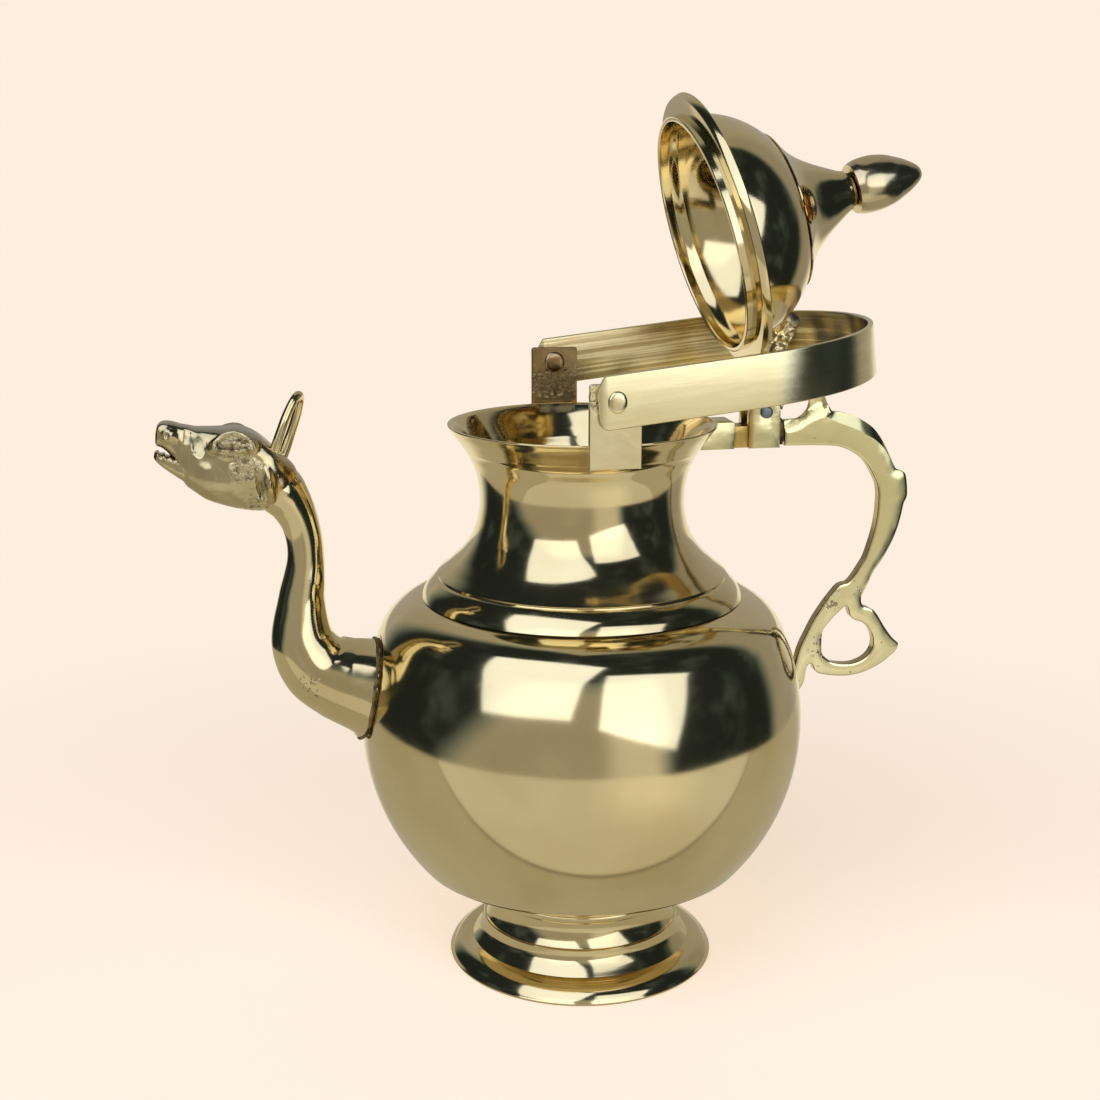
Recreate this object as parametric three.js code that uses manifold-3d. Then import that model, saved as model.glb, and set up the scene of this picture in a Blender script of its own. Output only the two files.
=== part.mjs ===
// Brass kamandal, a ritual water pot with a hinged lid and a folding bail.
// Millimetres, +Z up. The pot is turned about Z; +X points to the side handle and -X to the spout.
// The lid stands open and the bail lies folded over the handle, as the pot is shown.

import * as THREE from 'three';
import { mergeVertices } from 'three/addons/utils/BufferGeometryUtils.js';
import Module from 'manifold-3d';

const wasm = await Module();
wasm.setup();

// Fits
const SEAT_GAP = 0.3; // between pieces that touch
const PIN_CLEARANCE = 0.3; // round a pin or rivet
const RUNNING_GAP = 0.4; // beside pieces that swing

// Foot
const FOOT_RADIUS = 48.9;
const FOOT_HEIGHT = 32.1;
const FOOT_WAIST_RADIUS = 33;
const FOOT_BEAD_RADIUS = 38.1;
const FOOT_WALL = 2.2;
const FOOT_EDGE = 0.7;

// Belly: a sphere with a flattened floor and a tighter curve at the shoulder
const BELLY_RADIUS = 80;
const BELLY_CENTRE_RISE = 59.9; // centre above the floor
const BELLY_WALL = 2;
const SHOULDER_ANGLE = 25.2; // where the tighter curve begins, above the equator
const SHOULDER_CURVE = 20.8;
const SHOULDER_END_SLOPE = 10.6;

// Neck
const NECK_WALL = 2;
const BAND_HEIGHT = 7.6; // shoulder band between the two grooves
const BAND_TAPER = 5.2;
const BAND_BULGE = 0.9;
const GROOVE_DEPTH = 0.6;
const NECK_WAIST_RADIUS = 36.4;
const NECK_HEIGHT = 45.7; // from the upper groove to the ridge under the lip
const NECK_WAIST_RISE = 27.4; // waist above the upper groove
const LIP_RADIUS = 47.6;
const LIP_HEIGHT = 8.4;
const RIDGE_RADIUS = 41.4;

// Spout, measured from the side of the belly
const SPOUT_WALL = 2;
const SPOUT_RISE = 15.2; // root above the belly's centre
const SPOUT_HOLE_RADIUS = 11.5;
const SPOUT_SOLDER_WIDTH = 1.6;
const SPOUT_SOLDER_HEIGHT = 2;

// Crest ring on the head
const CREST_WIRE = 2.8;
const CREST_HALF_WIDTH = 5.4;
const CREST_LENGTH = 21;
const CREST_LEAN = 70;
const CREST_YAW = 30;

// Bail and its lugs
const LUG_WIDTH = 17.5;
const LUG_THICKNESS = 1.8;
const LUG_DROP = 7.4; // below the lip edge
const LUG_HEIGHT = 28.1;
const PIVOT_RISE = 15.1; // rivets above the lip edge
const RIVET_RADIUS = 1.9;
const RIVET_HEAD_RADIUS = 2.8;
const RIVET_HEAD_HEIGHT = 0.9;
const RIVET_TAIL_HEIGHT = 0.4;
const STRAP_WIDTH = 17.8;
const STRAP_THICKNESS = 1.9;
const STRAP_REACH = 104.6;
const STRAP_TAIL = 6.2; // behind the rivet
const STRAP_CORNER = 3;
const BAIL_REST_ANGLE = 6.5;

// Lid
const LID_WALL = 1.8;
const LID_OPEN_ANGLE = 74;
const FLANGE_OVERHANG = 1.1; // beyond the lip
const FLANGE_HEIGHT = 3;
const SPIGOT_DEPTH = 3.6;
const DOME_RADIUS = 41;
const DOME_HEIGHT = 35.1;
const DOME_SEAM = 25.6; // height of the groove where the cone is joined
const CONE_NECK_RADIUS = 7.3;
const CONE_TOP = 51.5;
const STEM_RADIUS = 2.5;
const STEM_COLLAR_RADIUS = 6;
const STEM_COLLAR_HEIGHT = 1.4;
const BUD_RADIUS = 9.85;
const BUD_LENGTH = 26.2;

// Lid hinge
const PIN_OFFSET = 18.2; // pin beyond the lip edge
const PIN_RISE = 2.6; // pin above the lip edge
const PIN_RADIUS = 1.9;
const KNUCKLE_RADIUS = 4.9;
const KNUCKLE_WIDTH = 6;
const CHEEK_THICKNESS = 3.1;
const CHEEK_RADIUS = 5.2;
const LID_LUG_WIDTH = 9.6;
const BRACKET_DEPTH = 12.9; // underside below the pin
const BRACKET_RECESS = 2.2;
const TOP_SOLDER = 2.6; // seam between bracket and handle

// Side handle
const HANDLE_THICKNESS = 5;
const HANDLE_OUT = 0.7; // outline beyond and above the pin
const HANDLE_UP = 0.5;
const HANDLE_DROP = 110.25; // drawn drop from the pin to the belly's centre
const HANDLE_SPREAD = 32.4; // drawn reach of the belly's side beyond the lip
const FOOT_SOLDER = 1.2;

// Fineness of the round surfaces
const TURNED_SEGMENTS = 36;
const SMALL_SEGMENTS = 24;
const FASTENER_SEGMENTS = 16;
const CUTTER_SEGMENTS = 64;
const TUBE_SIDES = 12;
const WIRE_SIDES = 8;
const SPOUT_RINGS = 19;
const HEAD_SIDES = 16;

// Heights and radii that follow
const bellyZ = FOOT_HEIGHT + SEAT_GAP + BELLY_CENTRE_RISE;
const floorZ = bellyZ - BELLY_CENTRE_RISE;
const radians = THREE.MathUtils.degToRad;

const shoulderStart = radians(90 - SHOULDER_ANGLE);
const shoulderEnd = radians(SHOULDER_END_SLOPE);
const seamRadius = BELLY_RADIUS * Math.sin(shoulderStart)
  - SHOULDER_CURVE * (Math.sin(shoulderStart) - Math.sin(shoulderEnd));
const seamZ = bellyZ + BELLY_RADIUS * Math.cos(shoulderStart)
  + SHOULDER_CURVE * (Math.cos(shoulderEnd) - Math.cos(shoulderStart));
const bandTopZ = seamZ + SEAT_GAP + BAND_HEIGHT;
const waistZ = bandTopZ + NECK_WAIST_RISE;
const ridgeZ = bandTopZ + NECK_HEIGHT;
const lipZ = ridgeZ + LIP_HEIGHT;

const pivotZ = lipZ + PIVOT_RISE;
const pinX = LIP_RADIUS + PIN_OFFSET;
const pinZ = lipZ + PIN_RISE;
const lidZ = lipZ + SEAT_GAP; // underside of the closed flange
const flangeRadius = LIP_RADIUS + FLANGE_OVERHANG;
const lugY = flangeRadius + RUNNING_GAP + RIVET_TAIL_HEIGHT; // inner face of a bail lug
const strapY = lugY + LUG_THICKNESS + SEAT_GAP; // inner face of a bail arm
const clevisHalf = KNUCKLE_WIDTH / 2 + RUNNING_GAP + CHEEK_THICKNESS;

// Shape tools

function profilePoints(pairs) {
  return pairs.map(([x, y]) => new THREE.Vector2(x, y));
}

// Points on an arc from one angle to another, in degrees, anticlockwise from +X.
function arc(centreX, centreY, radius, from, to, steps) {
  return Array.from({ length: steps + 1 }, (_, i) => {
    const angle = radians(from + (to - from) * i / steps);
    return [centreX + radius * Math.cos(angle), centreY + radius * Math.sin(angle)];
  });
}

// Points along a smooth curve through the given ones.
function smooth(pairs, steps) {
  const curve = new THREE.SplineCurve(profilePoints(pairs));
  return curve.getPoints(steps).map((p) => [p.x, p.y]);
}

// A profile of [radius, height] points spun about Z; it starts and ends on the axis or closes on itself.
function turned(profile, segments = TURNED_SEGMENTS) {
  return new THREE.LatheGeometry(profilePoints(profile), segments).rotateX(Math.PI / 2);
}

function ringProfile(outer, inner) {
  return [...outer, ...inner, outer[0]];
}

// A flat outline of [x, z] points given a thickness across Y, centred on centreY.
function plate(outline, thickness, centreY = 0, holes = []) {
  const shape = new THREE.Shape(profilePoints(outline));
  shape.holes = holes.map((hole) => new THREE.Path(profilePoints(hole)));
  return new THREE.ExtrudeGeometry(shape, { depth: thickness, bevelEnabled: false })
    .rotateX(Math.PI / 2)
    .translate(0, centreY + thickness / 2, 0);
}

// A skin over rings of equally many points. Joined end to start it makes a hollow tube,
// otherwise each end gets a flat cap.
function skin(rings, joined) {
  const count = rings[0].length;
  const positions = rings.flat().flatMap((p) => [p.x, p.y, p.z]);
  const index = [];
  const spans = joined ? rings.length : rings.length - 1;
  for (let i = 0; i < spans; i += 1) {
    const next = (i + 1) % rings.length;
    for (let k = 0; k < count; k += 1) {
      const a = i * count + k;
      const b = i * count + (k + 1) % count;
      const c = next * count + (k + 1) % count;
      const d = next * count + k;
      index.push(a, b, c, a, c, d);
    }
  }
  if (!joined) {
    const last = (rings.length - 1) * count;
    for (let k = 1; k < count - 1; k += 1) {
      index.push(0, k + 1, k);
      index.push(last, last + k, last + k + 1);
    }
  }
  const geometry = new THREE.BufferGeometry();
  geometry.setAttribute('position', new THREE.Float32BufferAttribute(positions, 3));
  geometry.setIndex(index);
  return geometry;
}

function rod(radius, length, centre, direction = new THREE.Vector3(0, 1, 0), sides = FASTENER_SEGMENTS) {
  const turn = new THREE.Quaternion().setFromUnitVectors(
    new THREE.Vector3(0, 1, 0),
    direction.clone().normalize(),
  );
  return new THREE.CylinderGeometry(radius, radius, length, sides)
    .applyQuaternion(turn)
    .translate(centre.x, centre.y, centre.z);
}

function block(minimum, maximum) {
  const size = maximum.map((value, i) => value - minimum[i]);
  const middle = maximum.map((value, i) => (value + minimum[i]) / 2);
  return new THREE.BoxGeometry(...size).translate(...middle);
}

function solid(geometry) {
  const bare = geometry.clone();
  bare.deleteAttribute('normal');
  bare.deleteAttribute('uv');
  const merged = mergeVertices(bare, 1e-4);
  return new wasm.Manifold(new wasm.Mesh({
    numProp: 3,
    vertProperties: Float32Array.from(merged.attributes.position.array),
    triVerts: Uint32Array.from(merged.index.array),
  }));
}

function geometryOf(manifold) {
  const mesh = manifold.getMesh();
  const geometry = new THREE.BufferGeometry();
  geometry.setAttribute('position', new THREE.BufferAttribute(Float32Array.from(mesh.vertProperties), 3));
  geometry.setIndex(new THREE.BufferAttribute(Uint32Array.from(mesh.triVerts), 1));
  return geometry;
}

function cut(body, ...tools) {
  return geometryOf(tools.reduce((rest, tool) => rest.subtract(solid(tool)), solid(body)));
}

function join(...bodies) {
  return geometryOf(bodies.map(solid).reduce((whole, body) => whole.add(body)));
}

function common(body, other) {
  return geometryOf(solid(body).intersect(solid(other)));
}

// Finishes

const brass = { color: 0xc8a24c, roughness: 0.22, metalness: 1 };
const castBrass = { color: 0xbfa055, roughness: 0.38, metalness: 1 };
const satinBrass = { color: 0xd6c07a, roughness: 0.34, metalness: 1 };
const solder = { color: 0x7a6a3c, roughness: 0.7, metalness: 0.8 };
const steel = { color: 0x9aa0a6, roughness: 0.35, metalness: 1 };

function piece(name, geometry, finish) {
  geometry.computeVertexNormals();
  const mesh = new THREE.Mesh(geometry, new THREE.MeshStandardMaterial(finish));
  mesh.name = name;
  return mesh;
}

// Foot: a hollow turned ring; a wide flange, a stepped cone, a waist, a band and a bead

function footGeometry() {
  const ledge = 0.6;
  const flangeTop = [0.842 * FOOT_RADIUS, 0.2 * FOOT_HEIGHT];
  const coneTop = [FOOT_WAIST_RADIUS + 2.8, 0.467 * FOOT_HEIGHT];
  const bandZ = FOOT_HEIGHT - 6.1;
  const beadZ = FOOT_HEIGHT - 1.8;
  const bandRadius = FOOT_BEAD_RADIUS - 1;
  const waistZ0 = (coneTop[1] + bandZ) / 2 - 0.4;
  const outer = [
    [FOOT_RADIUS, 0],
    [FOOT_RADIUS, FOOT_EDGE],
    [0.92 * FOOT_RADIUS, 0.09 * FOOT_HEIGHT],
    flangeTop,
    [flangeTop[0] - ledge, flangeTop[1] + 0.2],
    coneTop,
    [coneTop[0] - ledge, coneTop[1] + 0.2],
    [FOOT_WAIST_RADIUS + 0.25, waistZ0 - 2.2],
    [FOOT_WAIST_RADIUS, waistZ0],
    [FOOT_WAIST_RADIUS + 0.5, waistZ0 + 2.4],
    [bandRadius, bandZ],
    [bandRadius + 0.1, bandZ + 2.2],
    [bandRadius - 0.7, bandZ + 2.7],
    [FOOT_BEAD_RADIUS - 0.5, beadZ - 1.3],
    [FOOT_BEAD_RADIUS, beadZ],
    [FOOT_BEAD_RADIUS - 0.5, beadZ + 1.2],
    [FOOT_BEAD_RADIUS - 1.3, FOOT_HEIGHT],
  ];
  const inner = [
    [bandRadius - FOOT_WALL, FOOT_HEIGHT],
    [bandRadius - FOOT_WALL, bandZ],
    [FOOT_WAIST_RADIUS - FOOT_WALL, waistZ0],
    [coneTop[0] - FOOT_WALL - 0.8, coneTop[1] - 0.6],
    [flangeTop[0] - FOOT_WALL - 0.6, flangeTop[1] - 0.6],
    [FOOT_RADIUS - FOOT_WALL, 0],
  ];
  return turned(ringProfile(outer, inner));
}

// Belly: floor curve, sphere and shoulder curve outside; the same shape one wall thickness in

function bellyOutline(offset, floorSteps, sphereSteps, shoulderSteps) {
  const radius = BELLY_RADIUS - offset;
  const sphereFrom = -41;
  const sphereStart = arc(0, bellyZ, radius, sphereFrom, sphereFrom, 1)[0];
  const floor = smooth([
    [0.475 * BELLY_RADIUS, floorZ + offset],
    [0.60 * BELLY_RADIUS, floorZ + 1.7 + offset],
    [0.70 * BELLY_RADIUS - 0.6 * offset, floorZ + 4.9 + 0.9 * offset],
    sphereStart,
  ], floorSteps);
  const sphere = arc(0, bellyZ, radius, sphereFrom, SHOULDER_ANGLE, sphereSteps);
  const curveCentreX = (BELLY_RADIUS - SHOULDER_CURVE) * Math.cos(radians(SHOULDER_ANGLE));
  const curveCentreZ = bellyZ + (BELLY_RADIUS - SHOULDER_CURVE) * Math.sin(radians(SHOULDER_ANGLE));
  const shoulder = arc(curveCentreX, curveCentreZ, SHOULDER_CURVE - offset,
    SHOULDER_ANGLE, 90 - SHOULDER_END_SLOPE, shoulderSteps);
  return [...floor.slice(0, -1), ...sphere, ...shoulder.slice(1)];
}

function bellyBore(radius) {
  const direction = spoutDirection();
  const start = spoutPoint(0);
  return rod(radius, 40, start, direction, SMALL_SEGMENTS);
}

function bellyGeometry() {
  const outer = bellyOutline(0, 4, 11, 4);
  const inner = bellyOutline(BELLY_WALL, 3, 7, 3).reverse();
  const shell = turned([[0, floorZ], ...outer, ...inner, [0, floorZ + BELLY_WALL]]);
  return cut(shell, bellyBore(SPOUT_HOLE_RADIUS));
}

// A ball that stands one gap outside the belly; pieces that sit on the belly are cut with it.
function bellyBall(gap) {
  return new THREE.SphereGeometry(BELLY_RADIUS + gap, CUTTER_SEGMENTS, CUTTER_SEGMENTS / 2)
    .rotateX(Math.PI / 2)
    .translate(0, 0, bellyZ);
}

// Neck: shoulder band, one concave arc up to a ridge, then the conical lip

const neckFromZ = bandTopZ + 0.8;
const neckToZ = ridgeZ - 2.6;

// Each half of the waist is an arc that starts upright at the waist and ends at the given flare.
function neckRadiusAt(z) {
  const flare = (z < waistZ ? seamRadius - BAND_TAPER : RIDGE_RADIUS - 1) - NECK_WAIST_RADIUS;
  const reach = z < waistZ ? waistZ - neckFromZ : neckToZ - waistZ;
  const curve = (reach * reach + flare * flare) / (2 * flare);
  return NECK_WAIST_RADIUS + curve - Math.sqrt(curve * curve - (z - waistZ) ** 2);
}

function neckOutline(offset, bandSteps, neckSteps) {
  const bottomZ = seamZ + SEAT_GAP;
  const bottomRadius = seamRadius - offset;
  const topRadius = seamRadius - BAND_TAPER - offset;
  const band = Array.from({ length: bandSteps + 1 }, (_, i) => {
    const share = i / bandSteps;
    const bulge = BAND_BULGE * Math.sin(Math.PI * share);
    return [bottomRadius + (topRadius - bottomRadius) * share + bulge, bottomZ + (BAND_HEIGHT - 0.6) * share];
  });
  const neck = Array.from({ length: neckSteps + 1 }, (_, i) => {
    const z = neckFromZ + (neckToZ - neckFromZ) * i / neckSteps;
    return [neckRadiusAt(z) - offset, z];
  });
  const groove = offset > 0 ? [] : [[topRadius - GROOVE_DEPTH, bandTopZ]];
  return [...band, ...groove, ...neck];
}

function neckOuter() {
  return [
    ...neckOutline(0, 3, 11),
    [RIDGE_RADIUS, ridgeZ - 0.5],
    [RIDGE_RADIUS + 0.5, ridgeZ],
    [LIP_RADIUS - 0.3, lipZ - 0.7],
    [LIP_RADIUS, lipZ - 0.3],
    [LIP_RADIUS - 0.4, lipZ],
  ];
}

function neckGeometry() {
  const inner = [
    ...neckOutline(NECK_WALL, 2, 6),
    [RIDGE_RADIUS - NECK_WALL + 0.6, ridgeZ],
    [LIP_RADIUS - NECK_WALL - 0.2, lipZ],
  ].reverse();
  return turned(ringProfile(neckOuter(), inner));
}

// The neck and lip as a full body one gap larger, to cut the pieces that sit on them.
function neckBody(gap) {
  const outline = neckOuter().map(([radius, z]) => [radius + gap, z]);
  const bottom = outline[0][1];
  const top = outline[outline.length - 1][1];
  return turned([[0, bottom], ...outline, [LIP_RADIUS - 0.4 + gap, top + gap], [0, top + gap]], CUTTER_SEGMENTS);
}

// Spout: a bent tapering tube; each station is [out from the belly's side, height above the root, radius]

const spoutStations = [
  [-10, -3, 19.5],
  [-2.5, 0, 17.3],
  [8, 4, 15],
  [15.8, 9.3, 13.1],
  [20.3, 19, 11],
  [20.2, 32.5, 8.3],
  [19, 40.5, 7.3],
  [18.2, 47.5, 6.5],
  [18.4, 54, 6.3],
  [19.8, 61, 6.6],
  [22.3, 66.8, 7.5],
  [25.3, 71.2, 8.7],
  [28.2, 74.5, 9.6],
];

const spoutCurve = new THREE.CatmullRomCurve3(
  spoutStations.map(([out, up]) => new THREE.Vector3(-BELLY_RADIUS - out, 0, bellyZ + SPOUT_RISE + up)),
);

function spoutPoint(share) {
  return spoutCurve.getPoint(share);
}

function spoutDirection() {
  return spoutCurve.getPoint(0.12).sub(spoutCurve.getPoint(0.02)).normalize();
}

function spoutRadius(share) {
  const place = share * (spoutStations.length - 1);
  const lower = Math.min(Math.floor(place), spoutStations.length - 2);
  const mix = place - lower;
  return spoutStations[lower][2] * (1 - mix) + spoutStations[lower + 1][2] * mix;
}

function spoutRing(share, radius) {
  const centre = spoutPoint(share);
  const tangent = spoutCurve.getTangent(share);
  const side = new THREE.Vector3(tangent.z, 0, -tangent.x);
  return Array.from({ length: TUBE_SIDES }, (_, k) => {
    const angle = 2 * Math.PI * k / TUBE_SIDES;
    return new THREE.Vector3(
      centre.x + radius * Math.cos(angle) * side.x,
      radius * Math.sin(angle),
      centre.z + radius * Math.cos(angle) * side.z,
    );
  });
}

function spoutShares() {
  return Array.from({ length: SPOUT_RINGS + 1 }, (_, i) => i / SPOUT_RINGS);
}

function spoutTube(extra, wall) {
  const outer = spoutShares().map((share) => spoutRing(share, spoutRadius(share) + extra));
  const inner = spoutShares().map((share) => spoutRing(share, spoutRadius(share) + extra - wall)).reverse();
  return skin([...outer, ...inner], true);
}

// The tube's outer body without its bore, one gap larger and one gap longer, to cut what meets it.
function spoutBody() {
  const rings = spoutShares().map((share) => spoutRing(share, spoutRadius(share) + SEAT_GAP));
  const beyond = spoutCurve.getTangent(1).multiplyScalar(SEAT_GAP);
  rings.push(rings[rings.length - 1].map((point) => point.clone().add(beyond)));
  return skin(rings, false);
}

function spoutTubeGeometry() {
  return cut(spoutTube(0, SPOUT_WALL), bellyBall(SEAT_GAP));
}

function spoutSolderGeometry() {
  const collar = spoutTube(SEAT_GAP + SPOUT_SOLDER_WIDTH, SPOUT_SOLDER_WIDTH);
  const nearBelly = common(collar, bellyBall(SEAT_GAP + SPOUT_SOLDER_HEIGHT));
  return cut(nearBelly, bellyBall(SEAT_GAP));
}

// Animal head on the spout. Each rib is a slanted cross-section from the crown to the jaw:
// [crown out, crown up, jaw out, jaw up, half width], measured from the end of the spout.

const headRibs = [
  [-4.4, 9.4, 4.3, -8.9, 9.6],
  [0.2, 13.6, 8.4, -8.5, 10.1],
  [5.3, 18, 13.3, -7.6, 9.9],
  [11.3, 20.4, 18.6, -6, 9.5],
  [19.6, 20.4, 23.9, -3.6, 8.3],
  [25.3, 20.7, 27.9, -0.5, 6.3],
  [30.3, 21.8, 31.3, 2.7, 4.9],
  [34.3, 22.9, 35, 5.3, 4.7],
  [37.2, 22.5, 38.4, 8.2, 4.2],
  [38.4, 20.6, 40.1, 10.8, 2.8],
];

const HEAD_BOXINESS = 3.2;

const headBore = [
  [-7.7, 4.7, -1.3, -8.9, 7.4],
  [2.4, 9, 8, -4.5, 7.2],
  [13, 16, 17, -1.5, 6.2],
  [25, 16, 27.2, 4, 3.8],
  [33.5, 13.8, 34, 8.8, 2.4],
  [41, 14.2, 41, 11.6, 2.2],
];

// A rib's outline: boxy above the middle, where the flat crown turns into the cheek, and round below.
function headRing([crownOut, crownUp, jawOut, jawUp, halfWidth], sides, boxy) {
  const end = spoutPoint(1);
  const crown = new THREE.Vector3(end.x - crownOut, 0, end.z + crownUp);
  const jaw = new THREE.Vector3(end.x - jawOut, 0, end.z + jawUp);
  const middle = crown.clone().add(jaw).multiplyScalar(0.5);
  const half = crown.clone().sub(jaw).multiplyScalar(0.5);
  return Array.from({ length: sides }, (_, k) => {
    const angle = -2 * Math.PI * k / sides;
    const across = Math.cos(angle);
    const along = Math.sin(angle);
    const power = along > 0 ? 2 / boxy : 1;
    const y = halfWidth * Math.sign(across) * Math.abs(across) ** power;
    return middle.clone().addScaledVector(half, Math.sign(along) * Math.abs(along) ** power).setY(y);
  });
}

function headPlace(out, side, up) {
  const end = spoutPoint(1);
  return [end.x - out, side, end.z + up];
}

function bump(out, side, up, sizes, tilt) {
  return new THREE.SphereGeometry(1, 10, 6)
    .scale(...sizes)
    .rotateY(radians(tilt))
    .translate(...headPlace(out, side, up));
}

function spoutHeadGeometry() {
  const skull = skin(headRibs.map((rib) => headRing(rib, HEAD_SIDES, HEAD_BOXINESS)), false);
  const bore = skin(headBore.map((rib) => headRing(rib, 10, 2)), false);
  const details = [1, -1].flatMap((side) => [
    bump(13.5, side * 8, 14.8, [6.6, 2.6, 3], 0),
    bump(2.2, side * 9, 2, [2.6, 2.2, 7], -12),
    bump(34.2, side * 4, 18.6, [2.6, 1.7, 2.4], 0),
  ]);
  const end = spoutPoint(1);
  const mouthOutline = [
    [end.x - 32.4, end.z + 11.2],
    [end.x - 42, end.z + 17.4],
    [end.x - 42, end.z + 12],
  ];
  const mouth = plate(mouthOutline, 16);
  return cut(join(skull, ...details), bore, mouth, spoutBody());
}

// Crest ring: a wire arch that leans back from the crown of the head

function crestGeometry() {
  const [baseX, , baseZ] = headPlace(-2.6, 0, 12);
  const lean = radians(CREST_LEAN);
  const yaw = radians(CREST_YAW);
  const up = new THREE.Vector3(Math.cos(lean), 0, Math.sin(lean));
  const across = new THREE.Vector3(Math.sin(yaw), Math.cos(yaw), 0);
  const arch = [[-0.93, -0.12], [-1.02, 0.3], [-0.95, 0.62], [-0.58, 0.9], [0, 1], [0.58, 0.9], [0.95, 0.62],
    [1.02, 0.3], [0.93, -0.12]];
  const route = new THREE.CatmullRomCurve3(arch.map(([side, rise]) => new THREE.Vector3(baseX, 0, baseZ)
    .addScaledVector(across, side * CREST_HALF_WIDTH)
    .addScaledVector(up, rise * (CREST_LENGTH - CREST_WIRE / 2))));
  const section = new THREE.Shape(profilePoints(arc(0, 0, CREST_WIRE / 2, 0, 360 - 360 / WIRE_SIDES, WIRE_SIDES - 1)));
  const wire = new THREE.ExtrudeGeometry(section, { steps: 22, extrudePath: route, bevelEnabled: false });
  const largerRibs = headRibs.map(([crownOut, crownUp, jawOut, jawUp, halfWidth]) => (
    [crownOut - SEAT_GAP, crownUp + SEAT_GAP, jawOut, jawUp, halfWidth + SEAT_GAP]));
  const skull = skin(largerRibs.map((rib) => headRing(rib, HEAD_SIDES, HEAD_BOXINESS)), false);
  return cut(wire, skull, spoutBody());
}

// Bail: lugs on the lip, rivets, and a flat strap bent round in a half circle

function bailLugGeometry(side) {
  const half = LUG_WIDTH / 2;
  const bottom = lipZ - LUG_DROP;
  const top = bottom + LUG_HEIGHT;
  const corner = 1.2;
  const outline = [
    [-half, bottom],
    [half, bottom],
    ...arc(half - corner, top - corner, corner, 0, 90, 3),
    ...arc(-half + corner, top - corner, corner, 90, 180, 3),
  ];
  const centre = side * (lugY + LUG_THICKNESS / 2);
  const lug = plate(outline, LUG_THICKNESS, centre);
  return cut(lug, rod(RIVET_RADIUS + PIN_CLEARANCE, 8, new THREE.Vector3(0, centre, pivotZ)));
}

function rivetGeometry(side) {
  const inner = lugY - RIVET_TAIL_HEIGHT;
  const face = strapY + STRAP_THICKNESS + SEAT_GAP;
  const grip = lugY - SEAT_GAP / 2;
  const profile = [
    [0, inner],
    [RIVET_HEAD_RADIUS * 0.7, inner],
    [RIVET_HEAD_RADIUS, grip - 0.1],
    [RIVET_RADIUS, grip],
    [RIVET_RADIUS, face],
    [RIVET_HEAD_RADIUS, face],
    [RIVET_HEAD_RADIUS * 0.93, face + RIVET_HEAD_HEIGHT * 0.5],
    [RIVET_HEAD_RADIUS * 0.6, face + RIVET_HEAD_HEIGHT * 0.9],
    [0, face + RIVET_HEAD_HEIGHT],
  ];
  return turned(profile, FASTENER_SEGMENTS)
    .rotateX(side > 0 ? -Math.PI / 2 : Math.PI / 2)
    .translate(0, 0, pivotZ);
}

// Solder between the lip and a lug: a wedge that fills the corner under the lip edge.
function lugSolderGeometry(side) {
  const outer = lugY - SEAT_GAP;
  const wedge = [
    [outer, lipZ - 0.2],
    [LIP_RADIUS - 3.4, lipZ - 0.2],
    [LIP_RADIUS - 4.6, lipZ - 3.8],
    [outer - 1.8, lipZ - 6.2],
    [outer, lipZ - 6.6],
  ];
  const bead = new THREE.ExtrudeGeometry(new THREE.Shape(profilePoints(wedge)), {
    depth: LUG_WIDTH - 4,
    bevelEnabled: false,
  })
    .rotateX(Math.PI / 2)
    .rotateZ(Math.PI / 2)
    .translate(-(LUG_WIDTH - 4) / 2, 0, 0);
  if (side < 0) {
    bead.rotateZ(Math.PI);
  }
  return cut(bead, neckBody(SEAT_GAP));
}

function strapGeometry() {
  const outerY = strapY + STRAP_THICKNESS;
  const straight = STRAP_REACH - outerY;
  const plan = [
    [-STRAP_TAIL, -outerY],
    ...arc(straight, 0, outerY, -90, 90, 28),
    [-STRAP_TAIL, outerY],
    [-STRAP_TAIL, strapY],
    ...arc(straight, 0, strapY, 90, -90, 28),
    [-STRAP_TAIL, -strapY],
  ];
  const band = new THREE.ExtrudeGeometry(new THREE.Shape(profilePoints(plan)), {
    depth: STRAP_WIDTH,
    bevelEnabled: false,
  }).translate(0, 0, -STRAP_WIDTH / 2);
  const half = STRAP_WIDTH / 2;
  const side = [
    [STRAP_REACH + 2, -half - 1],
    [STRAP_REACH + 2, half + 1],
    [-STRAP_TAIL + STRAP_CORNER + 1, half + 1],
    [-STRAP_TAIL + STRAP_CORNER, half],
    ...arc(-STRAP_TAIL + 5, half - 5 - STRAP_CORNER / 2, 5, 130, 180, 4),
    ...arc(-STRAP_TAIL + 3, -half + 3, 3, 180, 270, 4),
    [-STRAP_TAIL + 4, -half - 1],
  ];
  const trimmed = common(band, plate(side, 2 * outerY + 4));
  return cut(trimmed, rod(RIVET_RADIUS + PIN_CLEARANCE, 2 * outerY + 4, new THREE.Vector3()));
}

// Lid: flange, spigot and dome in one turned shell, with the cone joined on at a groove.
// Heights are above the underside of the flange.

function domeRadiusAt(height) {
  return DOME_RADIUS * Math.sqrt(1 - (height / DOME_HEIGHT) ** 2);
}

function domeOutline(offset, from, to, steps) {
  return Array.from({ length: steps + 1 }, (_, i) => {
    const height = from + (to - from) * Math.sin(Math.PI / 2 * i / steps);
    const ratio = height / (DOME_HEIGHT - offset);
    return [(DOME_RADIUS - offset) * Math.sqrt(1 - ratio * ratio), height];
  });
}

function spigotRadius() {
  const mouthAtDepth = LIP_RADIUS - NECK_WALL - 0.2
    - (SPIGOT_DEPTH / LIP_HEIGHT) * (LIP_RADIUS - RIDGE_RADIUS - 0.8);
  return mouthAtDepth - RUNNING_GAP - 0.5;
}

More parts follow.
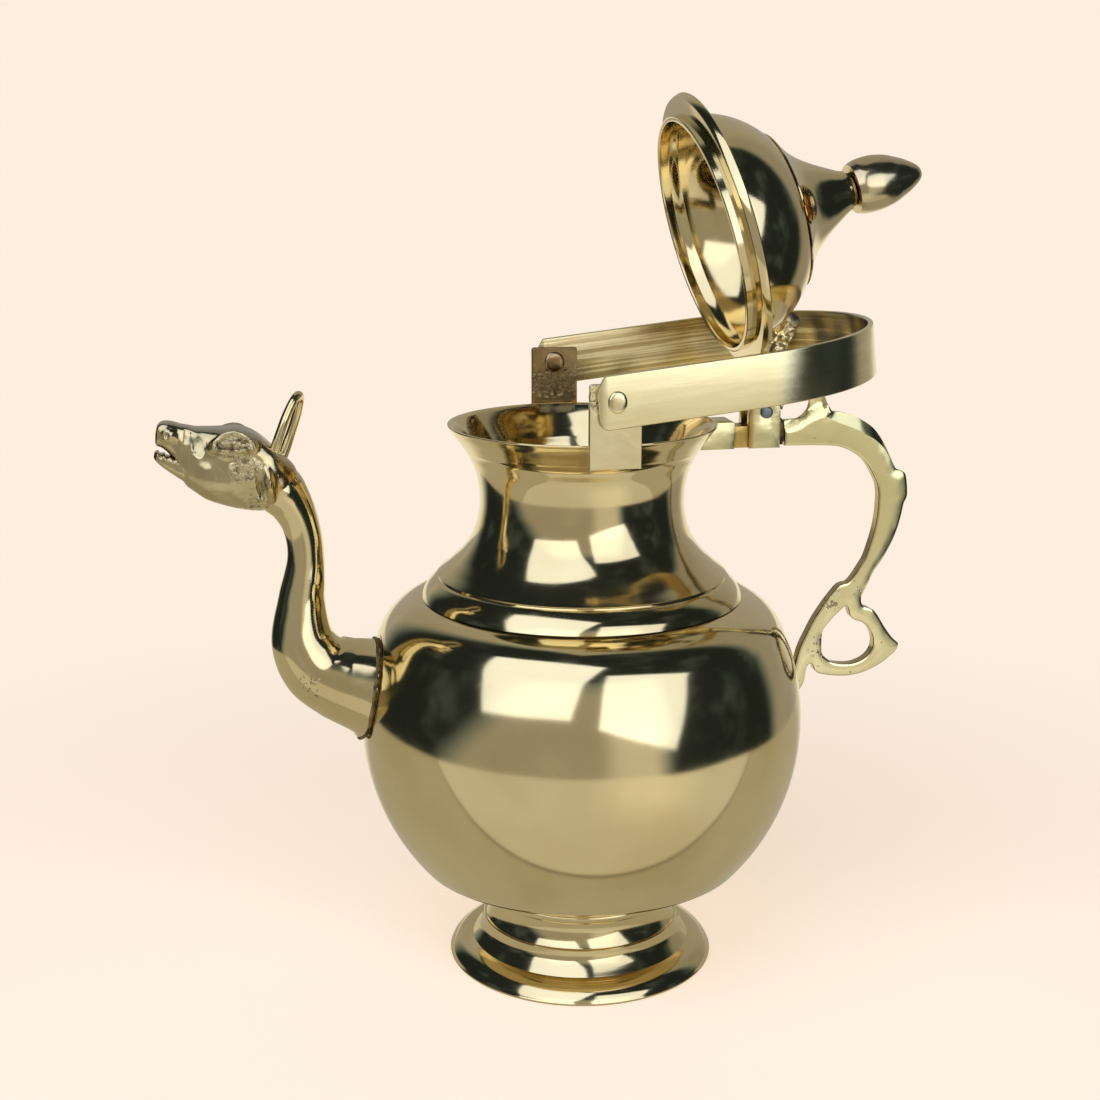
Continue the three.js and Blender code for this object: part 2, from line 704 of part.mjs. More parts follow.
function lidDomeGeometry() {
  const spigot = spigotRadius();
  const outer = [
    [spigot, -SPIGOT_DEPTH],
    [spigot, 0],
    [flangeRadius - 0.9, 0],
    [flangeRadius - 0.5, 0.9],
    [flangeRadius, FLANGE_HEIGHT - 0.4],
    [flangeRadius - 0.3, FLANGE_HEIGHT],
    [DOME_RADIUS + 1.4, FLANGE_HEIGHT + 0.4],
    ...domeOutline(0, FLANGE_HEIGHT + 1.4, DOME_SEAM, 6),
  ];
  const inner = domeOutline(LID_WALL, FLANGE_HEIGHT, DOME_SEAM, 5).reverse();
  const profile = ringProfile(outer, [...inner, [spigot - LID_WALL, -SPIGOT_DEPTH]]);
  return turned(profile).translate(0, 0, lidZ);
}

function coneRadiusAt(height) {
  const foot = domeRadiusAt(DOME_SEAM);
  const share = (height - DOME_SEAM) / (CONE_TOP - 3 - DOME_SEAM);
  return CONE_NECK_RADIUS + (foot - CONE_NECK_RADIUS) * (1 - Math.min(share, 1)) ** 1.62;
}

function lidConeGeometry() {
  const from = DOME_SEAM + SEAT_GAP;
  const foot = domeRadiusAt(DOME_SEAM);
  const steps = 8;
  const flank = Array.from({ length: steps + 1 }, (_, i) => {
    const height = from + 0.7 + (CONE_TOP - 2 - from) * i / steps;
    return [coneRadiusAt(height), height];
  });
  const outer = [[foot - GROOVE_DEPTH, from], ...flank, [CONE_NECK_RADIUS, CONE_TOP]];
  const boreRadius = STEM_RADIUS + PIN_CLEARANCE;
  const inner = [
    [boreRadius, CONE_TOP],
    [boreRadius, CONE_TOP - 13],
    [coneRadiusAt(DOME_SEAM + 9) - LID_WALL, DOME_SEAM + 8],
    [foot - LID_WALL - GROOVE_DEPTH, from],
  ];
  return turned(ringProfile(outer, inner), SMALL_SEGMENTS).translate(0, 0, lidZ);
}

function finialStemGeometry() {
  const collarZ = CONE_TOP + SEAT_GAP;
  const budZ = collarZ + STEM_COLLAR_HEIGHT;
  return turned([
    [0, CONE_TOP - 10],
    [STEM_RADIUS, CONE_TOP - 10],
    [STEM_RADIUS, collarZ],
    [STEM_COLLAR_RADIUS, collarZ],
    [STEM_COLLAR_RADIUS, budZ],
    [STEM_RADIUS, budZ],
    [STEM_RADIUS, budZ + 9],
    [0, budZ + 9],
  ], FASTENER_SEGMENTS).translate(0, 0, lidZ);
}

function finialBudGeometry() {
  const base = CONE_TOP + 2 * SEAT_GAP + STEM_COLLAR_HEIGHT;
  const boreRadius = STEM_RADIUS + PIN_CLEARANCE;
  const bud = [[0.88, 0], [0.94, 0.06], [0.995, 0.17], [1, 0.29], [0.95, 0.44], [0.76, 0.65], [0.44, 0.88],
    [0.2, 0.965], [0, 1]];
  return turned([
    [0, base + 9.5],
    [boreRadius, base + 9.5],
    [boreRadius, base],
    ...bud.map(([radius, height]) => [radius * BUD_RADIUS, base + height * BUD_LENGTH]),
  ], SMALL_SEGMENTS).translate(0, 0, lidZ);
}

// Lid lug: a rough arm from the dome over the flange to the pin; its hump lands on the handle's ear.

function lidLugGeometry() {
  const top = pinZ + 15.2;
  const arm = [
    [DOME_RADIUS - 9, lidZ + 19],
    [DOME_RADIUS - 4.6, lidZ + 22.4],
    [DOME_RADIUS - 2.4, lidZ + 23],
    [DOME_RADIUS - 0.2, lidZ + 21],
    [DOME_RADIUS + 3.6, lidZ + 17],
    [DOME_RADIUS + 6.4, lidZ + 16.4],
    [pinX - 13.5, top + 0.2],
    [pinX - 9, top],
    [pinX - 5, top - 2.4],
    [pinX - 1.6, top - 6.6],
    [pinX + 2.2, pinZ + 4.4],
    [pinX - KNUCKLE_RADIUS, pinZ],
    [pinX - 9, lidZ + FLANGE_HEIGHT + 0.6],
    [flangeRadius - 4, lidZ + FLANGE_HEIGHT - 1],
    [DOME_RADIUS - 9, lidZ + FLANGE_HEIGHT - 1],
  ];
  const pin = new THREE.Vector3(pinX, 0, pinZ);
  const reliefRadius = CHEEK_RADIUS + RUNNING_GAP + 0.6;
  const wide = cut(plate(arm, LID_LUG_WIDTH), rod(reliefRadius, LID_LUG_WIDTH + 2, pin));
  const web = [
    ...arc(pinX, pinZ, KNUCKLE_RADIUS, -130, 60, 9),
    [pinX, pinZ + reliefRadius + 2.2],
    [pinX - 9, pinZ + reliefRadius + 1],
    [pinX - 9.5, lidZ + FLANGE_HEIGHT + 1.2],
  ];
  const lidBody = turned([
    [0, lidZ - 5],
    [flangeRadius + SEAT_GAP, lidZ - 5],
    [flangeRadius + SEAT_GAP, lidZ + FLANGE_HEIGHT + SEAT_GAP],
    [DOME_RADIUS + 1.4 + SEAT_GAP, lidZ + FLANGE_HEIGHT + 0.4 + SEAT_GAP],
    ...domeOutline(-SEAT_GAP, FLANGE_HEIGHT + 1.4, DOME_SEAM + 4, 14).map(([r, h]) => [r, h + lidZ]),
    [0, lidZ + DOME_SEAM + 4],
  ], CUTTER_SEGMENTS);
  const knuckle = plate(web, KNUCKLE_WIDTH);
  return cut(join(wide, knuckle), lidBody, rod(PIN_RADIUS + PIN_CLEARANCE, LID_LUG_WIDTH + 2, pin));
}

// Hinge bracket: a block soldered under the lip, a recessed bridge, and two cheeks round the pin

const bracketBottom = pinZ - BRACKET_DEPTH;
const cheekLeft = pinX - CHEEK_RADIUS - 1;
const cheekRight = pinX + CHEEK_RADIUS;

function hingeBracketGeometry() {
  const pin = new THREE.Vector3(pinX, 0, pinZ);
  const root = block([RIDGE_RADIUS - 2, -clevisHalf, bracketBottom], [pinX - 11.8, clevisHalf, lipZ - 0.7]);
  const bridge = block(
    [pinX - 12.2, -clevisHalf + BRACKET_RECESS, bracketBottom],
    [cheekLeft + 0.4, clevisHalf - BRACKET_RECESS, lipZ - 2.6],
  );
  const cheekOutline = [
    [cheekLeft, bracketBottom],
    [cheekRight, bracketBottom],
    ...arc(pinX, pinZ, CHEEK_RADIUS, 0, 150, 10),
    [cheekLeft, pinZ - 1],
  ];
  const cheeks = plate(cheekOutline, 2 * clevisHalf);
  const slotHalf = KNUCKLE_WIDTH / 2 + RUNNING_GAP;
  const slotFloor = pinZ - KNUCKLE_RADIUS - 0.9;
  const slot = block([cheekLeft - 1, -slotHalf, slotFloor], [cheekRight + 1, slotHalf, pinZ + 10]);
  return cut(
    join(root, bridge, cheeks),
    slot,
    rod(PIN_RADIUS + PIN_CLEARANCE, 2 * clevisHalf + 2, pin),
    neckBody(SEAT_GAP),
  );
}

function hingePinGeometry() {
  const reach = clevisHalf + SEAT_GAP;
  const head = 0.7;
  return turned([
    [0, -reach - head],
    [PIN_RADIUS * 1.2, -reach - head],
    [PIN_RADIUS * 1.45, -reach],
    [PIN_RADIUS, -reach],
    [PIN_RADIUS, reach],
    [PIN_RADIUS * 1.45, reach],
    [PIN_RADIUS * 1.2, reach + head],
    [0, reach + head],
  ], FASTENER_SEGMENTS).rotateX(-Math.PI / 2).translate(pinX, 0, pinZ);
}

function topSolderGeometry() {
  const left = cheekRight + SEAT_GAP;
  const right = left + TOP_SOLDER;
  return plate([
    [left, bracketBottom + 0.6],
    [right - 0.8, bracketBottom + 0.3],
    [right, bracketBottom + 3],
    [right - 0.5, bracketBottom + 6.6],
    [right, pinZ - 4.4],
    [left + 0.9, pinZ - 2.4],
    [left, pinZ - 2.8],
  ], HANDLE_THICKNESS + 1.2);
}

// Side handle: a cast plate. Its outline is drawn from the pin; it stretches with the drop to the belly
// and, below the bracket, leans out as far as the belly does.

function fromPin(pairs) {
  const stretch = (pinZ - bellyZ) / HANDLE_DROP;
  const lean = BELLY_RADIUS - LIP_RADIUS - HANDLE_SPREAD;
  return pairs.map(([x, z]) => {
    const below = Math.max(0, -z - BRACKET_DEPTH) / (HANDLE_DROP - BRACKET_DEPTH);
    return [pinX + HANDLE_OUT + x + lean * below, pinZ + HANDLE_UP + z * stretch];
  });
}

function handleOutline() {
  const left = cheekRight + 2 * SEAT_GAP + TOP_SOLDER - pinX - HANDLE_OUT;
  return fromPin([
    ...smooth([[25.9, -1.9], [34.4, -3.8], [42.1, -8.6], [47.1, -15.6], [51.5, -24]], 10),
    [52.7, -24.3],
    [55.2, -26.6],
    [56.1, -34.2],
    ...smooth([[54.9, -36.6], [52.5, -47.1], [47.3, -58], [40.5, -70.3]], 8),
    [39.8, -73.2],
    [41.3, -75.9],
    ...smooth([[43.2, -76.2], [47, -80], [52.7, -88.3]], 4),
    [55.4, -90.7],
    [54.1, -94.3],
    ...smooth([[50.3, -97.3], [44, -100.6], [34.9, -102.4], [25.7, -101.2]], 8),
    [22.2, -98],
    [20.1, -97.3],
    [19.2, -99.4],
    [18.4, -103.9],
    [16.8, -106.4],
    [0, -108],
    [0, -94.2],
    ...smooth([[15.3, -94.2], [18.8, -85], [24, -76], [29.9, -68.1]], 6),
    [32, -66.6],
    [34.4, -66.2],
    ...smooth([[36.6, -63.6], [42.1, -52.4], [44.5, -42.7], [44.8, -32.9], [42.3, -25.6], [38.1, -19.7],
      [31.6, -15.7], [24.5, -14.2]], 16),
    [left, -BRACKET_DEPTH - 0.2],
    [left, -4.2],
    ...smooth([[9.1, -4.2], [11.4, -4.3], [14.2, -3.2], [16.9, -0.2], [17.2, 3.6]], 8),
    ...smooth([[16.4, 7.6], [14.1, 11.2], [13.4, 13.4]], 4),
    ...smooth([[15, 13.8], [19.4, 10.2], [22.2, 5.8], [23.4, 2.4]], 5),
  ]);
}

function handleHole() {
  return fromPin(smooth([[24.9, -87.1], [25, -92.6], [29.7, -96.8], [37.5, -97.7], [43.7, -94.4], [45.3, -88.9],
    [42.1, -82.8], [37.8, -80.9], [35.6, -79.3], [34, -75.4], [29, -79.3], [26.3, -82.3], [24.9, -87.1]], 24)
    .slice(0, -1));
}

function sideHandleGeometry() {
  const handle = plate(handleOutline(), HANDLE_THICKNESS, 0, [handleHole()]);
  return cut(handle, bellyBall(2 * SEAT_GAP + FOOT_SOLDER));
}

function handleFootSolderGeometry() {
  const pad = fromPin([[0, -108.6], [20, -108.6], [20, -92.6], [0, -92.6]]);
  const near = common(plate(pad, HANDLE_THICKNESS + 2.4), bellyBall(SEAT_GAP + FOOT_SOLDER));
  return cut(near, bellyBall(SEAT_GAP));
}

// Assembly: the fixed pot, the bail turned about its rivets, and the lid turned about its pin

const pot = new THREE.Group();
pot.add(
  piece('foot', footGeometry(), brass),
  piece('belly', bellyGeometry(), brass),
  piece('neck', neckGeometry(), brass),
  piece('spout_tube', spoutTubeGeometry(), brass),
  piece('spout_solder_ring', spoutSolderGeometry(), solder),
  piece('spout_head', spoutHeadGeometry(), castBrass),
  piece('crest_ring', crestGeometry(), brass),
  piece('bail_lug_front', bailLugGeometry(-1), satinBrass),
  piece('bail_lug_rear', bailLugGeometry(1), satinBrass),
  piece('lug_solder_front', lugSolderGeometry(-1), solder),
  piece('lug_solder_rear', lugSolderGeometry(1), solder),
  piece('bail_rivet_front', rivetGeometry(-1), satinBrass),
  piece('bail_rivet_rear', rivetGeometry(1), satinBrass),
  piece('hinge_bracket', hingeBracketGeometry(), castBrass),
  piece('hinge_pin', hingePinGeometry(), steel),
  piece('handle_top_solder', topSolderGeometry(), solder),
  piece('side_handle', sideHandleGeometry(), satinBrass),
  piece('handle_foot_solder', handleFootSolderGeometry(), solder),
);

const bail = new THREE.Group();
bail.position.set(0, 0, pivotZ);
bail.rotation.y = -radians(BAIL_REST_ANGLE);
bail.add(piece('bail_strap', strapGeometry(), satinBrass));

const lid = new THREE.Group();
lid.position.set(pinX, 0, pinZ);
lid.rotation.y = radians(LID_OPEN_ANGLE);
const closedLid = new THREE.Group();
closedLid.position.set(-pinX, 0, -pinZ);
closedLid.add(
  piece('lid_dome', lidDomeGeometry(), brass),
  piece('lid_cone', lidConeGeometry(), brass),
  piece('finial_stem', finialStemGeometry(), brass),
  piece('finial_bud', finialBudGeometry(), brass),
  piece('lid_lug', lidLugGeometry(), castBrass),
);
lid.add(closedLid);

const kamandal = new THREE.Group();
kamandal.add(pot, bail, lid);

// The origin is the middle of the base of the whole object's box.
const bounds = new THREE.Box3().setFromObject(kamandal, true);
const middle = bounds.getCenter(new THREE.Vector3());
kamandal.position.set(-middle.x, -middle.y, -bounds.min.z);

export default kamandal;
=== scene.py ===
"""Brass kamandal: a ritual water pot with an open hinged lid and a bail folded over its side handle.

Lengths are written in millimetres with the pot's axis at x = y = 0 and the table at z = 0, and every
finished point is moved to the part's own frame in metres. +X points to the side handle, -X to the spout.
"""

from math import cos, pi, radians, sin

import bmesh
import bpy
import numpy as np
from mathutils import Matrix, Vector
from mathutils.geometry import delaunay_2d_cdt


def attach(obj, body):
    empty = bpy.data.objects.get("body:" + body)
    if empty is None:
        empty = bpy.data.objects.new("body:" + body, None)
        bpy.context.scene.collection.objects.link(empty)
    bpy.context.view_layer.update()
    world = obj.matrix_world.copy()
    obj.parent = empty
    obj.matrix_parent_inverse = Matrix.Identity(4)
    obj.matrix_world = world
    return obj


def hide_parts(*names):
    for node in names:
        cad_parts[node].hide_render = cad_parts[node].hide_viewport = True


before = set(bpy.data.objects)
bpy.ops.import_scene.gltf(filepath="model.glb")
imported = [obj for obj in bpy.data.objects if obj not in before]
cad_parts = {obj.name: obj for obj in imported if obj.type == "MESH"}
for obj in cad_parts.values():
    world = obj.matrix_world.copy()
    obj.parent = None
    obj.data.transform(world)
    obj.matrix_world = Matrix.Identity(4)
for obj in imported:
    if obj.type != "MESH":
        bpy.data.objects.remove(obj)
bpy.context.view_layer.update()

# Frame and meshes
MM = 0.001
AXIS_X = 12.85
TURN_STEPS = 160
FINE_STEPS = 224
MERGE = 2e-6
EDGE_ROWS = (0.22, 0.55, 1.0)
ROW_SHARE = 0.93
EDGE_CLEARANCE = 1.5
CREASE_CLEARANCE = 0.3
TRIANGLE_RISE = 0.866

# Vessel
WALL = 2.0
BELLY_CENTRE = 92.3
BELLY_MIDDLE = np.array([0.0, 0.0, BELLY_CENTRE])
BELLY_RADIUS = 80.0
BELLY_FLOOR = 32.4
FLOOR_ANGLE = -41
SHOULDER_ANGLE = 25.2
SHOULDER_END = 79.4
SHOULDER_CURVE = 20.8
NECK_BOTTOM = 138.25
NECK_GROOVE = 145.85
NECK_BAND = 7.0
LIP_Z = 199.95

# Spout, head and crest
SPOUT_ROOT_Z = 107.5
SPOUT_GAP = 0.15
SOLDER_REACH = BELLY_RADIUS + 0.5
SPOUT_END = (-108.2, 182.0)
CREST_LEAN = radians(70)
CREST_YAW = radians(25)
CREST_HALF = 5.4
CREST_HEIGHT = 19.6
CREST_WIRE = 1.5
CREST_ROOT = (2.6, 12.0)

# Bail
PIVOT_Z = 215.05
STRAP_WIDTH = 17.8
STRAP_INNER = 51.6
STRAP_OUTER = 53.5
STRAP_REACH = 104.6
STRAP_STRAIGHT = STRAP_REACH - STRAP_OUTER
STRAP_TAIL = 6.2
STRAP_EDGE = 0.45
STRAP_ROUND = 3.0
STRAP_CUT = (3.6, 5.2)
BAIL_LIFT = 6.5
LUG_MIDDLE = 50.4
LUG_HALF = 8.75
LUG_HEIGHT = 28.1
LUG_DEPTH = 7.4
LUG_CORNER = 1.2
SIDES = {"front": -1, "rear": 1}

# Lid, closed heights above the flange's underside
LID_Z = 200.25
PIN = (65.8, 202.55)
LID_ANGLE = 74.0
DOME_RADIUS = 41.0
DOME_HEIGHT = 35.1
LID_WALL = 1.8
BUD_Z = 53.5
BUD_HEIGHT = 26.2
BUD_LEAN = 1.4

# Side handle
HANDLE_HALF = 2.5
BEVEL_DEPTH = 1.5
EAR_DEPTH = 1.3


# Placing

def in_frame(points):
    """Moves points from the pot's axis in millimetres to the part's frame in metres."""
    placed = np.array(points, dtype=float)
    placed[..., 0] += AXIS_X
    return placed * MM


def turned_about_y(points, centre, degrees):
    """Turns points about an axis along Y: at a positive angle, +Z moves towards +X."""
    c = cos(radians(degrees))
    s = sin(radians(degrees))
    x = points[..., 0] - centre[0]
    z = points[..., 2] - centre[1]
    out = np.array(points, dtype=float)
    out[..., 0] = centre[0] + c * x + s * z
    out[..., 2] = centre[1] - s * x + c * z
    return out


def on_lid(points):
    """Opens a point of the closed lid about the hinge pin."""
    return turned_about_y(points, PIN, LID_ANGLE)


def on_bail(points):
    """Lifts a point of the level bail about its rivets."""
    return turned_about_y(points, (0.0, PIVOT_Z), -BAIL_LIFT)


# Curves

def through(points, count):
    """A smooth curve through the points: each span is the cubic whose slope at either end is half the
    chord between that point's neighbours."""
    p = np.array(points, dtype=float)
    p = np.vstack([2 * p[0] - p[1], p, 2 * p[-1] - p[-2]])
    place = np.linspace(0, len(points) - 1, count)
    i = np.minimum(place.astype(int), len(points) - 2)
    t = (place - i)[:, None]
    a, b, c, d = p[i], p[i + 1], p[i + 2], p[i + 3]
    return 0.5 * (2 * b + (c - a) * t + (2 * a - 5 * b + 4 * c - d) * t ** 2
                  + (3 * b - 3 * c + d - a) * t ** 3)


def arc(centre, radius, start, end, count):
    """Points on a circle from one angle to the other, in degrees: centre + r (cos a, sin a)."""
    angle = np.radians(np.linspace(start, end, count))
    return np.stack([centre[0] + radius * np.cos(angle), centre[1] + radius * np.sin(angle)], axis=-1)


def full_turn(count):
    """Even angles round a circle, in radians."""
    return np.linspace(0, 2 * pi, count, endpoint=False)


def unit(vectors):
    """The same directions at length 1."""
    return vectors / np.maximum(np.linalg.norm(vectors, axis=-1, keepdims=True), 1e-9)


def smooth_step(x, low, high):
    """Rises from 0 at low to 1 at high with level ends: 3t^2 - 2t^3."""
    t = np.clip((x - low) / (high - low), 0, 1)
    return t * t * (3 - 2 * t)


def bump(distance):
    """A round hill of height 1 that falls level to 0 at distance 1: (1 - d^2) squared."""
    return np.clip(1 - distance ** 2, 0, None) ** 2


def ripple(points, size, seed):
    """A gentle unevenness from -1 to 1: a mean of six sine waves in seeded directions."""
    rng = np.random.default_rng(seed)
    total = np.zeros(points.shape[:-1])
    for _ in range(6):
        direction = rng.normal(size=3)
        direction /= np.linalg.norm(direction)
        wave = 2 * pi / (size * rng.uniform(0.7, 1.5))
        total += np.sin(points @ direction * wave + rng.uniform(0, 2 * pi))
    return total / 6


# Meshes

def add_object(name, data):
    """Adds an object with this mesh, lamp or camera to the scene."""
    made = bpy.data.objects.new(name, data)
    bpy.context.scene.collection.objects.link(made)
    return made


def add_piece(name, mesh, body, node, sharp):
    """Makes a mesh a piece of a body, smooth but for edges sharper than an angle."""
    mesh.polygons.foreach_set("use_smooth", np.ones(len(mesh.polygons), dtype=bool))
    mesh.set_sharp_from_angle(angle=radians(sharp))
    piece = add_object(name, mesh)
    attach(piece, body)
    if node:
        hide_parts(node)
    return piece


def vertex_values(vertices, name):
    """One vector of every vertex, as an array."""
    values = np.empty(3 * len(vertices))
    vertices.foreach_get(name, values)
    return values.reshape(-1, 3)


def mesh_piece(name, vertices, faces, body, node, sharp):
    """One closed piece from millimetre points: doubles merged, faces outwards."""
    mesh = bpy.data.meshes.new(name)
    mesh.from_pydata(in_frame(vertices).tolist(), [], faces)
    shell = bmesh.new()
    shell.from_mesh(mesh)
    bmesh.ops.remove_doubles(shell, verts=shell.verts, dist=MERGE)
    bmesh.ops.dissolve_degenerate(shell, edges=shell.edges, dist=MERGE / 2)
    bmesh.ops.recalc_face_normals(shell, faces=shell.faces)
    shell.to_mesh(mesh)
    shell.free()
    return add_piece(name, mesh, body, node, sharp)


def ring_piece(name, rings, body, node, joined=False, capped=True, sharp=32.0):
    """A skin of quads over rings of equally many points. It joins end to start, or each end is closed by
    a last ring drawn in to its middle."""
    if capped and not joined:
        ends = [np.broadcast_to(ring.mean(axis=0), ring.shape)[None] for ring in (rings[0], rings[-1])]
        rings = np.concatenate([ends[0], rings, ends[1]])
    rows, columns = rings.shape[:2]
    i, k = np.meshgrid(np.arange(rows if joined else rows - 1), np.arange(columns), indexing="ij")
    i2 = (i + 1) % rows
    k2 = (k + 1) % columns
    quads = np.stack([i * columns + k, i * columns + k2, i2 * columns + k2, i2 * columns + k], axis=-1)
    return mesh_piece(name, rings.reshape(-1, 3), quads.reshape(-1, 4).tolist(), body, node, sharp)


def turned_piece(name, profile, body, node, slot, place=np.array, closes=False, sharp=24.0,
                 steps=TURN_STEPS):
    """A profile of radius and height carried round Z: (r cos a, r sin a, z). It ends on the axis, or
    closes on itself."""
    r, z = np.array(profile).T[..., None]
    angle = full_turn(steps)
    points = np.stack([r * np.cos(angle), r * np.sin(angle), z + 0 * angle], axis=-1)
    return ring_piece(name, place(points), body, node, joined=closes, capped=False, sharp=sharp)


def inside(points, loop):
    """True where a ray towards +X crosses the closed loop an odd number of times."""
    x, z = points[:, 0][:, None], points[:, 1][:, None]
    a = loop
    b = np.roll(loop, -1, axis=0)
    crosses = (a[:, 1] > z) != (b[:, 1] > z)
    rise = np.where(b[:, 1] == a[:, 1], 1e-9, b[:, 1] - a[:, 1])
    reach = a[:, 0] + (z - a[:, 1]) / rise * (b[:, 0] - a[:, 0])
    return (crosses & (x < reach)).sum(axis=1) % 2 == 1


def within(points, loops):
    """True inside the first loop and outside the others, which are holes."""
    kept = inside(points, loops[0])
    for hole in loops[1:]:
        kept &= ~inside(points, hole)
    return kept


def distance_to(points, line, closed):
    """Least distance from each point to the line's segments."""
    a = line if closed else line[:-1]
    b = np.roll(line, -1, axis=0) if closed else line[1:]
    span = b - a
    length = np.maximum((span ** 2).sum(axis=1), 1e-12)
    offset = points[:, None, :] - a[None]
    share = np.clip((offset * span).sum(axis=2) / length, 0, 1)
    near = offset - share[..., None] * span
    return np.sqrt((near ** 2).sum(axis=2)).min(axis=1)


def edge_distance(points, loops):
    """Least distance from each point to any of the closed loops."""
    return np.min([distance_to(points, loop, True) for loop in loops], axis=0)


def even_steps(line, step, closed):
    """The same line with its points spread evenly, about one step apart."""
    run = np.vstack([line, line[:1]]) if closed else line
    length = np.concatenate([[0], np.cumsum(np.hypot(*np.diff(run, axis=0).T))])
    count = max(int(length[-1] / step), 3)
    at = np.linspace(0, length[-1], count + 1)
    if closed:
        at = at[:-1]
    return np.stack([np.interp(at, length, run[:, i]) for i in (0, 1)], axis=-1)


def inner_points(loops, creases, grid):
    """The points between the loops: a triangular grid, and three close rows along every edge."""
    low = loops[0].min(axis=0)
    high = loops[0].max(axis=0)
    x, z = np.meshgrid(np.arange(low[0], high[0], grid), np.arange(low[1], high[1], grid * TRIANGLE_RISE))
    x = x + (np.arange(len(x)) % 2)[:, None] * grid / 2
    field = np.stack([x.ravel(), z.ravel()], axis=-1)
    chosen = [field[edge_distance(field, loops) > EDGE_CLEARANCE]]
    for loop in loops:
        along = np.roll(loop, -1, axis=0) - np.roll(loop, 1, axis=0)
        along /= np.maximum(np.hypot(*along.T), 1e-9)[:, None]
        normal = np.stack([-along[:, 1], along[:, 0]], axis=-1)
        for offset in EDGE_ROWS:
            for sign in (-1, 1):
                row = loop + sign * offset * normal
                chosen.append(row[edge_distance(row, loops) > ROW_SHARE * offset])
    field = np.vstack(chosen)
    field = field[within(field, loops)]
    for crease in creases:
        field = field[distance_to(field, crease, False) > CREASE_CLEARANCE]
    return field


def plate_piece(name, loops, drop, half, grid, body, node, creases=(), step=0.6, place=np.array,
                centre_y=0.0, sharp=32.0):
    """A flat casting: a triangulated outline with holes, its faces at y = half less the drop at each
    point, joined by walls round every loop. The drop depends on the place and the distance to the edge."""
    loops = [even_steps(np.array(loop), step, True) for loop in loops]
    creases = [even_steps(np.array(crease), step, False) for crease in creases]
    points = []
    edges = []
    for line, closed in [(loop, True) for loop in loops] + [(crease, False) for crease in creases]:
        start = len(points)
        points += line.tolist()
        edges += [(i, i + 1) for i in range(start, len(points) - 1)]
        if closed:
            edges.append((len(points) - 1, start))
    points += inner_points(loops, creases, grid).tolist()
    flat, _, triangles, *_ = delaunay_2d_cdt([Vector(p) for p in points], edges, [], 0, 1e-5)
    flat = np.array([tuple(p) for p in flat])
    triangles = np.array(triangles)
    triangles = triangles[within(flat[triangles].mean(axis=1), loops)]
    depth = half - drop(flat, edge_distance(flat, loops))
    x, z = np.tile(flat.T, 2)
    vertices = np.stack([x, np.concatenate([centre_y - depth, centre_y + depth]), z], axis=-1)
    count = len(flat)
    pairs = np.sort(np.vstack([triangles[:, [i, (i + 1) % 3]] for i in range(3)]), axis=1)
    unique, uses = np.unique(pairs, axis=0, return_counts=True)
    a, b = unique[uses == 1].T
    faces = triangles[:, ::-1].tolist() + (triangles + count).tolist()
    faces += np.stack([a, b, b + count, a + count], axis=-1).tolist()
    return mesh_piece(name, place(vertices), faces, body, node, sharp)


def rounded_edge(radius):
    """The drop of a softly rounded edge: four fifths of the radius less the height of a quarter
    circle at each distance."""
    def drop(_, distance):
        reach = np.clip(1 - distance / radius, 0, 1)
        return radius * (1 - np.sqrt(1 - reach ** 2)) * 0.8
    return drop


# Foot: a rounded flange, a hollow step, a waist, a band and a bead, hollow underneath

def make_foot():
    """The outer line and the line of the hollow underneath, turned about the axis."""
    outer = np.vstack([
        [(48.6, 0), (48.85, 0.25), (48.9, 0.8)],
        through([(48.75, 1.1), (48.2, 2.2), (47, 3.7), (45.2, 5.2), (43, 6.2), (41.6, 6.5)], 20),
        [(40.5, 6.55)],
        through([(40.3, 6.6), (38.9, 8.3), (37.7, 9.9), (36.9, 11.4), (36.45, 13), (36.15, 14.7)], 20),
        [(35.95, 14.95), (35.25, 15)],
        through([(35.15, 15.1), (34.2, 16.9), (33.45, 18.9), (32.95, 21), (32.85, 22.8), (33.4, 24.6),
                 (34.7, 25.7), (36.5, 25.9)], 26),
        [(36.9, 26), (37.2, 26.3)],
        through([(37.35, 26.9), (37.4, 27.6), (37.1, 28.2)], 5),
        [(36.6, 28.5)],
        through([(36.9, 28.8), (37.7, 29.3), (38.1, 30.3), (37.8, 31.3), (36.9, 31.9)], 12),
        [(36.2, 32.1)],
    ])
    hollow = np.vstack([
        [(34.9, 32.1)],
        through([(34.8, 26.2), (31.2, 22.5), (30.8, 19.6), (32.6, 14.6), (36.9, 7.6), (41, 4),
                 (46.7, 0)], 40),
    ])
    return turned_piece("foot_turning", np.vstack([outer, hollow]), "pot", "foot", "polished_brass",
                        closes=True)


# Belly: a sphere with a flattened floor and a tighter shoulder curve, and the same shape one wall in

def belly_outline(inset):
    """A flat floor curve, the sphere's arc and the shoulder's tighter arc, tangent to it. An inset
    draws all three in."""
    sphere = arc((0, BELLY_CENTRE), BELLY_RADIUS - inset, FLOOR_ANGLE, SHOULDER_ANGLE, 70)
    low = BELLY_FLOOR + inset
    floor = through([(0, low), (30, low), (38, low + 0.2), (48, low + 1.9),
                     (55.9 - 0.6 * inset, low + 5.1 - 0.1 * inset), sphere[0]], 40)
    reach = BELLY_RADIUS - SHOULDER_CURVE
    centre = (reach * cos(radians(SHOULDER_ANGLE)), BELLY_CENTRE + reach * sin(radians(SHOULDER_ANGLE)))
    shoulder = arc(centre, SHOULDER_CURVE - inset, SHOULDER_ANGLE, SHOULDER_END, 24)
    return np.vstack([floor[:-1], sphere, shoulder[1:]])


